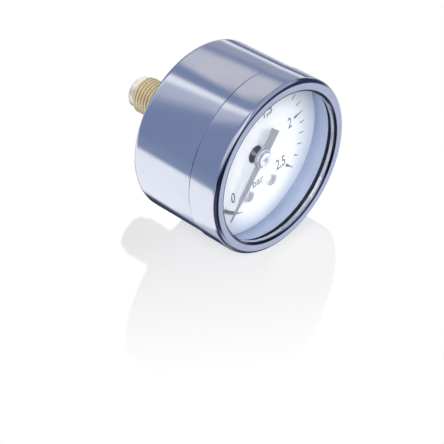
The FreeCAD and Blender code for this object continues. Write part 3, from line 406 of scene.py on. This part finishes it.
def stem_material():
    """Turned brass, with painted shade darkening the thread's roots and painted light making it paler within
    the pilot's radius.
    """
    material = metal("stem_brass", (1.0, 0.88, 0.58), (0.97, 0.83, 0.50), 0.28, 0.08, 7000.0, 0.02, 150.0,
                     metallic=0.35)
    tree = material.node_tree
    radius = off_axis(tree)
    shader = tree.nodes["Principled BSDF"]
    # Painted shade: darker brass in the thread's roots, inside 5.9 to 6.3 mm off the axis.
    root = add(tree, "ShaderNodeMapRange", Value=radius, From_Min=0.0059, From_Max=0.0063,
               To_Min=1.0, To_Max=0.0).outputs[0]
    over_colour(tree, shader, root, (0.50, 0.37, 0.19))
    # Painted light: paler brass within 5.62 mm of the axis, on the pilot, the inlet and the relief.
    pilot = maths(tree, "LESS_THAN", radius, 0.00562)
    over_colour(tree, shader, pilot, (1.0, 0.95, 0.80))
    return material


def dial_material():
    """White paint with painted shade that turns it to the wall's cool grey towards the
    rim: the mask is ((r - 20) / 10) ** 1.5 with the radius r in millimetres."""
    material = coated("dial_white", (0.93, 0.935, 0.945), (0.915, 0.92, 0.935), 0.42, 5000.0, 0.06)
    tree = material.node_tree
    shader = tree.nodes["Principled BSDF"]
    # Painted shade: the dial darkens towards its rim, inside the ring's wall.
    rim = add(tree, "ShaderNodeMapRange", Value=off_axis(tree), From_Min=0.020,
              From_Max=0.030).outputs[0]
    over_colour(tree, shader, maths(tree, "POWER", rim, 1.5), (0.52, 0.585, 0.70))
    return material


CASE_STEEL = metal("case_steel", (0.76, 0.79, 0.87), (0.72, 0.75, 0.83), 0.13, 0.05, 5000.0, 0.10)
RING_STEEL = ring_material()
# Darker, bluer steel as painted shade and blue reflection on the walls inside the opening: the spacer and the
# case's wall in front of the dial.
SHADED_RECESS_STEEL = metal("shaded_recess_steel", (0.50, 0.56, 0.69), (0.47, 0.53, 0.66), 0.30, 0.08, 9000.0, 0.20)
BRASS = metal("turned_brass", (1.0, 0.87, 0.54), (0.95, 0.80, 0.46), 0.30, 0.10, 7000.0, 0.03, 150.0,
              metallic=0.45)
STEM_BRASS = stem_material()
BRONZE = metal("drawn_bronze", (0.78, 0.56, 0.36), (0.66, 0.45, 0.27), 0.30, 0.12, 3000.0, 0.20, 200.0)
ZINC = metal("zinc_plate", (0.72, 0.73, 0.76), (0.60, 0.61, 0.66), 0.28, 0.12, 4000.0, 0.20, 300.0)
PLATE_METAL = metal("movement_plate", (0.50, 0.54, 0.74), (0.46, 0.50, 0.68), 0.32, 0.12, 5000.0, 0.10, 200.0,
                    metallic=0.15)
PIN_STEEL = metal("pin_steel", (0.40, 0.39, 0.42), (0.35, 0.34, 0.37), 0.35, 0.10, 9000.0, 0.06, 300.0,
                  metallic=0.2)
HUB_METAL = hub_material()
SCREW_METAL = metal("screw_metal", (0.80, 0.80, 0.84), (0.74, 0.74, 0.79), 0.28, 0.10, 9000.0, 0.15,
                    300.0, metallic=0.6)
RUBBER = coated("black_rubber", (0.004, 0.005, 0.009), (0.009, 0.010, 0.014), 0.7, 3000.0, 0.25, gloss=0.15)
DIAL_WHITE = dial_material()
DIAL_INK = coated("dial_ink", (0.17, 0.175, 0.20), (0.20, 0.205, 0.23), 0.5, 5000.0, 0.10)
POINTER_PAINT = coated("pointer_paint", (0.30, 0.305, 0.34), (0.32, 0.325, 0.36), 0.42, 4000.0, 0.15)
GLASS = window_material()


def finish(piece, material, body="gauge_body", replaces=()):
    piece.data.materials.clear()
    piece.data.materials.append(material)
    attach(piece, body)
    if replaces:
        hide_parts(*replaces)
    return piece


# ---- case, ring and window ----

case = turned_piece("case", [
    (CASE_HOLE_RADIUS, CASE_BACK, 0.15),
    (CASE_RADIUS, CASE_BACK, 2.2),
    (CASE_RADIUS, CASE_SHOULDER, 0.08),
    (NECK_RADIUS, NECK_BACK, 0.05),
    (NECK_RADIUS, GASKET_BACK, 0.0),
    (NECK_RADIUS - CASE_WALL, GASKET_BACK, 0.0),
    (NECK_RADIUS - CASE_WALL, DIAL_FACE - 0.7, 0.2),
    (CASE_RADIUS - CASE_WALL, DIAL_FACE - 1.2, 0.2),
    (CASE_RADIUS - CASE_WALL, CASE_BACK + CASE_WALL, 1.4),
    (CASE_HOLE_RADIUS, CASE_BACK + CASE_WALL, 0.15),
], arc_steps=12)
finish(case, CASE_STEEL, replaces=["case_cup"])
# Painted shade: the case's inner wall in front of the dial takes the darker recess steel.
case.data.materials.append(SHADED_RECESS_STEEL)
for face in case.data.polygons:
    inward = face.normal.x * face.center.x + face.normal.z * face.center.z < 0.0
    face.material_index = int(inward and face.center.y < -DIAL_FACE * MM)

ring = turned_piece("ring", [
    (RING_BORE_RADIUS, RING_BACK, 0.0),
    (RING_RADIUS, RING_BACK, 0.06),
    (RING_RADIUS, RING_FRONT, 1.75),
    (LIP_SLOPE_RADIUS, RING_FRONT, 0.35),
    (LIP_RADIUS, LIP_SLOPE_BACK, 0.25),
    (LIP_RADIUS, WINDOW_FRONT + LIP_GAP, 0.0),
    (RING_BORE_RADIUS, WINDOW_FRONT + LIP_GAP, 0.0),
], arc_steps=12)
finish(ring, RING_STEEL, replaces=["bezel_ring"])

# Two rows near the rim keep the rounded edge from bending the flat faces' normals.
PANE_FLAT = (29.6, 30.1)

window = turned_piece("window_pane", [
    (0.0, WINDOW_BACK, 0.0),
    (PANE_FLAT[0], WINDOW_BACK, 0.0),
    (PANE_FLAT[1], WINDOW_BACK, 0.0),
    (WINDOW_RADIUS, WINDOW_BACK, 0.15),
    (WINDOW_RADIUS, WINDOW_FRONT, 0.2),
    (PANE_FLAT[1], WINDOW_FRONT, 0.0),
    (PANE_FLAT[0], WINDOW_FRONT, 0.0),
    (0.0, WINDOW_FRONT, 0.0),
])
finish(window, GLASS, replaces=["window"])

gasket = turned_piece("gasket", [
    (GASKET_RADIUS, GASKET_BACK, 0.1),
    (WINDOW_RADIUS, GASKET_BACK, 0.0),
    (WINDOW_RADIUS, WINDOW_BACK - GASKET_GAP, 0.0),
    (GASKET_RADIUS, WINDOW_BACK - GASKET_GAP, 0.1),
])
finish(gasket, RUBBER, replaces=["window_gasket"])

spacer = turned_piece("spacer", [
    (SPACER_BORE_RADIUS, GASKET_BACK - SPACER_LENGTH, 0.1),
    (SPACER_RADIUS, GASKET_BACK - SPACER_LENGTH, 0.0),
    (SPACER_RADIUS, GASKET_BACK, 0.0),
    (SPACER_LIP_RADIUS, GASKET_BACK, 0.0),
    (SPACER_LIP_RADIUS, GASKET_BACK - 0.4, 0.15),
    (SPACER_BORE_RADIUS, GASKET_BACK - 0.4, 0.25),
])
finish(spacer, SHADED_RECESS_STEEL, replaces=["inner_ring"])


# ---- dial and its print ----

dial_disc = turned_piece("dial_disc", [
    (DIAL_HOLE_RADIUS, DIAL_FACE - DIAL_THICKNESS, 0.05),
    (DIAL_RADIUS, DIAL_FACE - DIAL_THICKNESS, 0.0),
    (DIAL_RADIUS, DIAL_FACE, 0.0),
    (3.7, DIAL_FACE, 0.0),
    (3.4, DIAL_FACE, 0.0),
    (DIAL_HOLE_RADIUS, DIAL_FACE, 0.08),
], arc_steps=4)
finish(dial_disc, DIAL_WHITE, replaces=["dial"])


def dial_point(radius, degrees):
    a = np.radians(degrees)
    return np.array([radius * np.cos(a), radius * np.sin(a)])


PRINT_BACK = DIAL_FACE - 0.01
PRINT_FRONT = DIAL_FACE + 0.025


def scale_angle(value):
    return SCALE_START - SCALE_SWEEP * value / SCALE_TOP


def radial_mark(name, value, widths):
    """Tick whose half width follows the (radius, half width) list outward."""
    outward = dial_point(1.0, scale_angle(value))
    across = np.array([-outward[1], outward[0]])
    left = [outward * radius + across * half for radius, half in widths]
    right = [outward * radius - across * half for radius, half in reversed(widths)]
    return slab(name, np.array(left + right), PRINT_BACK, PRINT_FRONT)


def arc_mark(name, radius, widths):
    """Band along a circle whose half width follows the (degrees, half width) list."""
    a, half = np.array([(math.radians(angle), w) for angle, w in widths]).T
    rays = np.stack([np.cos(a), np.sin(a)], -1)
    outline = np.concatenate([rays * (radius - half)[:, None], (rays * (radius + half)[:, None])[::-1]])
    return slab(name, outline, PRINT_BACK, PRINT_FRONT)


def lettering(name, words, x, z, height, narrow, weight):
    """Plain letters as a thin solid on the dial, centred on x, z: (u, v, w) of
    the text becomes (x + u * narrow, -depth, z + v)."""
    curve = bpy.data.curves.new(name, "FONT")
    curve.body = words
    curve.size = height / 0.72
    curve.align_x = "CENTER"
    curve.align_y = "CENTER"
    curve.offset = weight
    curve.extrude = (PRINT_FRONT - PRINT_BACK) / 2.0
    curve.resolution_u = 6
    text = bpy.data.objects.new(name + "_curve", curve)
    bpy.context.scene.collection.objects.link(text)
    bpy.context.view_layer.update()
    mesh = bpy.data.meshes.new_from_object(text.evaluated_get(bpy.context.evaluated_depsgraph_get()))
    bpy.data.objects.remove(text)
    flat = np.empty(len(mesh.vertices) * 3)
    mesh.vertices.foreach_get("co", flat)
    u, v, w = flat.reshape(-1, 3).T
    centre_u, centre_v = (u.min() + u.max()) / 2.0, (v.min() + v.max()) / 2.0
    depth = (PRINT_BACK + PRINT_FRONT) / 2.0 + w
    placed = np.stack([x + (u - centre_u) * narrow, -depth, z + v - centre_v], -1) * MM
    mesh.vertices.foreach_set("co", placed.ravel())
    piece = bpy.data.objects.new(name, mesh)
    bpy.context.scene.collection.objects.link(piece)
    return piece


print_parts = []
for step in range(26):
    value = step / 10.0
    if step % 5 == 0 and step > 0:
        widths = [(19.6, 0.55), (20.9, 0.50), (22.0, 0.26), (24.2, 0.12)]
    else:
        widths = [(22.0, 0.26), (23.0, 0.22), (24.3, 0.10)]
    if step > 0:
        print_parts.append(radial_mark("tick_%d" % step, value, widths))
print_parts.append(arc_mark("zero_band", 21.4, [(a, 0.7) for a in np.linspace(218.5, 234.5, 9)]))
print_parts.append(arc_mark("zero_line", 21.6, [(234.5, 0.2), (237.0, 0.42), (240.0, 0.38),
                                                (242.0, 0.2), (247.0, 0.12)]))

NUMBERS = [
    ("0", 16.3, 222.4), ("0,5", 15.6, 171.0), ("1", 16.3, 117.0),
    ("1,5", 15.5, 62.4), ("2", 17.3, 8.3), ("2,5", 16.2, -45.3),
]
for i, (words, radius, degrees) in enumerate(NUMBERS):
    x, z = dial_point(radius, degrees)
    print_parts.append(lettering("number_%d" % i, words, x, z, 4.4, 0.66, 0.07))
print_parts.append(lettering("unit", "bar", 0.1, -11.7, 3.3, 0.90, 0.04))

dial_print = joined("dial_print", print_parts)
finish(dial_print, DIAL_INK)


# ---- pointer ----

hub = turned_piece("hub", [
    (HUB_BORE_RADIUS, HUB_BACK, 0.0),
    (HUB_SLEEVE_RADIUS, HUB_BACK, 0.0),
    (HUB_SLEEVE_RADIUS, POINTER_FRONT, 0.0),
    (HUB_FLANGE_RADIUS, POINTER_FRONT, 0.0),
    (HUB_FLANGE_RADIUS, HUB_STEP, 0.2),
    (HUB_BOSS_RADIUS, HUB_STEP, 0.05),
    (HUB_BOSS_RADIUS, HUB_FRONT, 0.25),
    (HUB_BORE_RADIUS, HUB_FRONT, 0.1),
], around=128)
finish(hub, HUB_METAL, body="pointer_shaft", replaces=["pointer_hub"])


# ---- stem ----

def stem_surface():
    """Radius of the stem over angle a and depth d. The thread is the helix
    mean + height / 2 * g(d / pitch - a / 2 pi), with g a rounded triangle wave
    from -1 to 1. The wrench flats are 7 / max(|cos a|, |sin a|), cut at the
    collar's radius, and each end is held under its chamfer's cone."""
    corner = math.degrees(math.acos(FLATS_HALF / COLLAR_RADIUS))
    breaks = np.array([q + s for q in (0, 90, 180, 270) for s in (-corner, corner)]) % 360.0
    angles = np.radians(np.unique(np.concatenate([np.arange(0.0, 360.0, 2.0), breaks])))
    thread_rows = np.arange(PILOT_LENGTH + 0.02, THREAD_LENGTH, THREAD_PITCH / 14.0)
    a, d = np.meshgrid(angles, thread_rows)
    wave = 2.0 / np.pi * np.arcsin(np.sin(2.0 * np.pi * (d / THREAD_PITCH - a / (2.0 * np.pi))))
    shape = 0.55 * np.clip(1.25 * wave, -1.0, 1.0) + 0.45 * np.sin(np.pi / 2.0 * wave)
    thread = THREAD_RADIUS - THREAD_HEIGHT / 2.0 + THREAD_HEIGHT / 2.0 * shape
    entry = PILOT_RADIUS + d - PILOT_LENGTH
    leave = RELIEF_RADIUS + (THREAD_LENGTH - d) * 1.1
    thread = np.minimum(np.minimum(thread, entry), np.maximum(leave, RELIEF_RADIUS))
    flats = FLATS_HALF / np.maximum(np.abs(np.cos(angles)), np.abs(np.sin(angles)))
    flats = np.minimum(flats, COLLAR_RADIUS)
    one = np.ones_like(angles)
    lead = [
        (0.0, INLET_DEPTH), (INLET_RADIUS, INLET_DEPTH), (INLET_RADIUS, 0.35),
        (INLET_RADIUS + 0.35, 0.0), (PILOT_RADIUS - PILOT_EDGE, 0.0),
        (PILOT_RADIUS - 0.1, PILOT_EDGE - 0.1), (PILOT_RADIUS, PILOT_EDGE + 0.1),
        (PILOT_RADIUS, PILOT_LENGTH),
    ]
    tail = [(one * RELIEF_RADIUS, 13.05), (one * RELIEF_RADIUS, 14.7),
            (one * (RELIEF_RADIUS + 0.3), FLATS_START)]
    for step in (0.0, 0.15, 0.8):
        tail.append((np.minimum(flats, COLLAR_RADIUS - 0.8 + step), FLATS_START + step))
    tail += [(flats, 20.0), (flats, COLLAR_START - 0.15), (flats, COLLAR_START),
             (np.minimum(one * COLLAR_RADIUS, flats + 0.3), COLLAR_START),
             (one * (COLLAR_RADIUS - 0.2), COLLAR_START),
             (one * COLLAR_RADIUS, COLLAR_START + 0.2), (one * COLLAR_RADIUS, FLANGE_BACK),
             (one * FLANGE_RADIUS, FLANGE_BACK), (one * FLANGE_RADIUS, FLANGE_FRONT),
             (one * 0.0, FLANGE_FRONT)]
    radii = np.concatenate([np.array([one * r for r, _ in lead]), thread,
                            np.array([r for r, _ in tail])])
    depths = np.concatenate([[x for _, x in lead], thread_rows, [x for _, x in tail]])
    return np.stack([radii * np.cos(angles), np.broadcast_to(-depths[:, None], radii.shape),
                     radii * np.sin(angles)], -1)


stem = grid_piece("stem_body", stem_surface(), close_columns=True, sharp=28.0)
arm = slab("stem_arm", rounded([(-7.5, -23.6, 2), (7.5, -23.6, 2), (7.5, -12.0, 0), (-7.5, -12.0, 0)]),
           FLANGE_BACK, FLANGE_FRONT)
holder_sides = [
    slab("holder_front", rounded([(-6, -18.65, 0), (6, -18.65, 0), (6, -16.4, 0.6), (-6, -16.4, 0.6)]),
         FLANGE_FRONT, HOLDER_FRONT),
    slab("holder_back", rounded([(-6, -23.6, 2), (6, -23.6, 2), (6, -21.45, 0), (-6, -21.45, 0)]),
         FLANGE_FRONT, HOLDER_FRONT),
]
socket_piece = joined("stem", [stem, arm] + holder_sides)
finish(socket_piece, STEM_BRASS, replaces=["socket"])


# ---- Bourdon tube, bending between its root and its end ----

def tube_surface():
    """Oval section carried along the arc: radius 20 + u, centre depth + v, where
    (u, v) is a rounded rectangle of 2.6 by 8."""
    section = rounded([(-1.3, -4.0, 1.17), (1.3, -4.0, 1.17), (1.3, 4.0, 1.17), (-1.3, 4.0, 1.17)], 8)
    a = np.radians(np.linspace(TUBE_ROOT, TUBE_END, 160))[:, None]
    r = TUBE_RADIUS + section[None, :, 0]
    depth = np.broadcast_to(TUBE_CENTRE + section[None, :, 1], (160, len(section)))
    return np.stack([r * np.cos(a), -depth, r * np.sin(a)], -1)


tube = grid_piece("tube", tube_surface(), close_columns=True)
tube.data.materials.append(BRONZE)
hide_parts("bourdon_tube")
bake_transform(tube)


# ---- pieces that keep the solid's shape ----

for names, material in (
    (("restrictor_screw", "dial_post_left", "dial_post_right", "tube_end_piece", "link",
      "sector_gear", "hairspring_collet", "hairspring_stud", "movement_pillar_left",
      "movement_pillar_right"), BRASS),
    (("movement_back_plate", "movement_front_plate", "pinion"), PLATE_METAL),
    (("hairspring",), BRONZE),
    (("case_screw_left", "case_screw_right", "link_screw", "link_pin", "sector_arbor",
      "movement_nut_left", "movement_nut_right", "movement_screw_left",
      "movement_screw_right"), ZINC),
    (("dial_screw_left", "dial_screw_right"), SCREW_METAL),
    (("centre_arbor",), PIN_STEEL),
    (("case_gasket", "blow_out_plug"), RUBBER),
    (("pointer",), POINTER_PAINT),
):
    for name in names:
        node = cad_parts[name]
        node.data.materials.clear()
        node.data.materials.append(material)


# ---- studio ----

FLOOR_HEIGHT = -31.6 * MM
FLOOR_HALF = 2.5
SHELL_RADIUS = 0.30


def soft_box(value, middle, half, soft):
    """1 within half of the middle, falling smoothly to 0 over the soft edge."""
    t = np.clip((half + soft - np.abs(value - middle)) / soft, 0.0, 1.0)
    return t * t * (3.0 - 2.0 * t)


def turned_by(azimuth, middle):
    return (azimuth - middle + 180.0) % 360.0 - 180.0


# Panels around the gauge that only gloss sees: direction (azimuth from +X towards
# +Y, elevation), half sizes, edge softness in degrees, and their light. Each one
# lies over those before it.
PANELS = [
    (52, 45, 15, 9, 12, (0.64, 0.63, 0.68)),
    (112, 50, 7, 24, 14, (0.52, 0.55, 0.66)),
    (100, 53, 3.5, 30, 5, (1.0, 1.0, 1.03)),
    (36, 12, 26, 6, 8, (0.37, 0.40, 0.50)),
    (215, 40, 30, 12, 14, (0.62, 0.62, 0.68)),
    (-40, 45, 40, 20, 12, (0.38, 0.40, 0.52)),
    (-110, 58, 10, 30, 6, (1.0, 1.0, 1.02)),
    (0, -45, 180, 44, 2, (0.55, 0.585, 0.71)),
    (-30, 5, 42, 16, 8, (0.03, 0.035, 0.08)),
    (-40, -78, 60, 14, 6, (0.06, 0.07, 0.12)),
    (36, -7, 40, 3.5, 4, (0.12, 0.14, 0.22)),
    (36, 0.5, 24, 2.2, 2.5, (0.95, 0.98, 1.05)),
    (-115, -21, 42, 28, 5, (0.012, 0.016, 0.035)),
    (-160, -55, 40, 36, 12, (0.06, 0.07, 0.12)),
    (57, -58, 35, 22, 6, (0.035, 0.045, 0.08)),
    (145, -6, 44, 7, 3, (0.24, 0.295, 0.44)),
    (145, -33, 44, 22, 2, (1.0, 1.0, 1.03)),
]
SHELL_BASE = (0.215, 0.27, 0.42)


def studio_shell():
    """Sphere around the gauge that carries the panels' light."""
    azimuth, elevation = np.meshgrid(np.linspace(0.0, 360.0, 361), np.linspace(-90.0, 90.0, 181))
    light = np.broadcast_to(np.array(SHELL_BASE), azimuth.shape + (3,)).copy()
    for middle, height, half_w, half_h, soft, colour in PANELS:
        mask = soft_box(turned_by(azimuth, middle), 0.0, half_w, soft)
        mask = (mask * soft_box(elevation, height, half_h, soft))[..., None]
        light = light * (1.0 - mask) + np.array(colour) * mask
    a, e = np.radians(azimuth), np.radians(elevation)
    points = np.stack([np.cos(e) * np.cos(a), np.cos(e) * np.sin(a), np.sin(e)], -1) * SHELL_RADIUS
    points += np.array([0.0, -0.048, 0.0])
    rows, columns = points.shape[:2]
    i, j = np.arange(rows - 1)[:, None], np.arange(columns - 1)[None, :]
    quads = np.stack(np.broadcast_arrays(i * columns + j, (i + 1) * columns + j,
                                         (i + 1) * columns + j + 1, i * columns + j + 1), -1)
    mesh = bpy.data.meshes.new("studio_shell")
    mesh.from_pydata(points.reshape(-1, 3).tolist(), [], quads.reshape(-1, 4).tolist())
    glow = mesh.color_attributes.new("glow", "FLOAT_COLOR", "POINT")
    rgba = np.concatenate([light.reshape(-1, 3), np.ones((light[..., 0].size, 1))], 1)
    glow.data.foreach_set("color", rgba.ravel())
    mesh.shade_smooth()
    shell = bpy.data.objects.new("studio_shell", mesh)
    bpy.context.scene.collection.objects.link(shell)
    material = bpy.data.materials.new("panel_light")
    material.use_nodes = True
    tree = material.node_tree
    tree.nodes.clear()
    colour = add(tree, "ShaderNodeAttribute", {"attribute_name": "glow"}).outputs["Color"]
    light_node = add(tree, "ShaderNodeEmission", Color=colour, Strength=1.0)
    out = add(tree, "ShaderNodeOutputMaterial")
    tree.links.new(light_node.outputs[0], out.inputs["Surface"])
    mesh.materials.append(material)
    shell.visible_camera = False
    shell.visible_diffuse = False
    shell.visible_transmission = False
    shell.visible_shadow = False


# Direction on the floor that leads away from the camera. The shadow fades out
# against it, towards the camera.
FADE_AXIS = (0.70, 0.72)


def floor_material():
    """Pale top. The camera sees it as a bright white that keeps the gauge's shadow,
    which fades out away from the gauge."""
    material, tree, shader = new_material("pale_floor")
    place = add(tree, "ShaderNodeTexCoord").outputs["Object"]
    fine = add(tree, "ShaderNodeTexNoise", Vector=place, Scale=400.0, Detail=2.0).outputs["Fac"]
    rough = add(tree, "ShaderNodeMapRange", Value=fine, To_Min=0.5, To_Max=0.6).outputs[0]
    shader.inputs["Base Color"].default_value = (0.30, 0.30, 0.31, 1.0)
    tree.links.new(rough, shader.inputs["Roughness"])
    axes = add(tree, "ShaderNodeSeparateXYZ", n0=place).outputs
    towards = maths(tree, "ADD", maths(tree, "MULTIPLY", axes[0], -FADE_AXIS[0]),
                    maths(tree, "MULTIPLY", axes[1], -FADE_AXIS[1]))
    near = add(tree, "ShaderNodeMapRange", Value=towards, From_Min=0.008, From_Max=0.016,
               To_Min=1.0, To_Max=0.0).outputs[0]
    far = add(tree, "ShaderNodeMapRange", Value=towards, From_Min=0.042, From_Max=0.106,
              To_Min=0.0, To_Max=1.0).outputs[0]
    fade = maths(tree, "MAXIMUM", near, far)
    shade = add(tree, "ShaderNodeBsdfDiffuse", Color=(0.54, 0.54, 0.54, 1.0))
    glow = add(tree, "ShaderNodeEmission", Color=(1.0, 1.0, 1.0, 1.0), Strength=0.45)
    seen = add(tree, "ShaderNodeAddShader", n0=shade.outputs[0], n1=glow.outputs[0])
    white = add(tree, "ShaderNodeEmission", Color=(1.0, 1.0, 1.0, 1.0), Strength=1.0)
    faded = add(tree, "ShaderNodeMixShader", n0=fade, n1=seen.outputs[0], n2=white.outputs[0])
    path = add(tree, "ShaderNodeLightPath").outputs
    mix = add(tree, "ShaderNodeMixShader", n0=path["Is Camera Ray"], n1=shader.outputs[0],
              n2=faded.outputs[0])
    tree.links.new(mix.outputs[0], tree.nodes["Material Output"].inputs["Surface"])
    return material


def studio_floor():
    mesh = bpy.data.meshes.new("studio_floor")
    corners = [(-1, -1), (1, -1), (1, 1), (-1, 1)]
    places = [(x * FLOOR_HALF, y * FLOOR_HALF, FLOOR_HEIGHT) for x, y in corners]
    mesh.from_pydata(places, [], [(0, 1, 2, 3)])
    floor = bpy.data.objects.new("studio_floor", mesh)
    bpy.context.scene.collection.objects.link(floor)
    floor.data.materials.append(floor_material())
    floor.visible_glossy = False


def area_lamp(name, place, target, width, height, power):
    lamp = bpy.data.lights.new(name, "AREA")
    lamp.shape = "RECTANGLE"
    lamp.size = width
    lamp.size_y = height
    lamp.energy = power
    holder = bpy.data.objects.new(name, lamp)
    holder.location = place
    aim = Vector(target) - Vector(place)
    holder.rotation_euler = aim.to_track_quat("-Z", "Y").to_euler()
    holder.visible_glossy = False
    bpy.context.scene.collection.objects.link(holder)


def back_lamp():
    """Distant lamp behind the gauge, whose shadow falls towards the camera."""
    lamp = bpy.data.lights.new("lamp_back", "SUN")
    lamp.energy = 3.0
    lamp.angle = math.radians(2.0)
    holder = bpy.data.objects.new("lamp_back", lamp)
    holder.rotation_euler = Vector((-0.62, -0.452, -0.641)).to_track_quat("-Z", "Y").to_euler()
    holder.visible_glossy = False
    bpy.context.scene.collection.objects.link(holder)


def studio_world():
    world = bpy.data.worlds.new("studio_world")
    world.use_nodes = True
    tree = world.node_tree
    tree.nodes.clear()
    path = add(tree, "ShaderNodeLightPath").outputs
    seen = maths(tree, "MAXIMUM", maths(tree, "MAXIMUM", path["Is Camera Ray"], path["Is Glossy Ray"]),
                 path["Is Transmission Ray"])
    soft = add(tree, "ShaderNodeBackground", Color=(0.93, 0.95, 1.0, 1.0), Strength=0.15)
    white = add(tree, "ShaderNodeBackground", Color=(1.0, 1.0, 1.0, 1.0), Strength=1.0)
    mix = add(tree, "ShaderNodeMixShader", n0=seen, n1=soft.outputs[0], n2=white.outputs[0])
    out = add(tree, "ShaderNodeOutputWorld")
    tree.links.new(mix.outputs[0], out.inputs["Surface"])
    bpy.context.scene.world = world


studio_shell()
studio_floor()
studio_world()
back_lamp()
area_lamp("lamp_key", (-0.64, -0.71, 0.77), (0.0, -0.05, 0.0), 0.5, 0.5, 11.0)
area_lamp("lamp_side", (0.48, -0.80, 0.08), (0.0, -0.05, 0.0), 0.4, 0.15, 1.2)

CAMERA_LENS = 137.458
CAMERA_PLACE = (-0.30052, -0.36377, 0.36063)
CAMERA_DEGREES = (47.7309, 4.4434, -46.5004)

camera = bpy.data.cameras.new("camera")
camera.lens = CAMERA_LENS
camera.sensor_width = 36.0
camera.clip_start = 0.01
camera_object = bpy.data.objects.new("camera", camera)
camera_object.location = CAMERA_PLACE
camera_object.rotation_euler = Euler([math.radians(v) for v in CAMERA_DEGREES], "XYZ")
bpy.context.scene.collection.objects.link(camera_object)
bpy.context.scene.camera = camera_object
bpy.context.scene.view_settings.view_transform = "Standard"
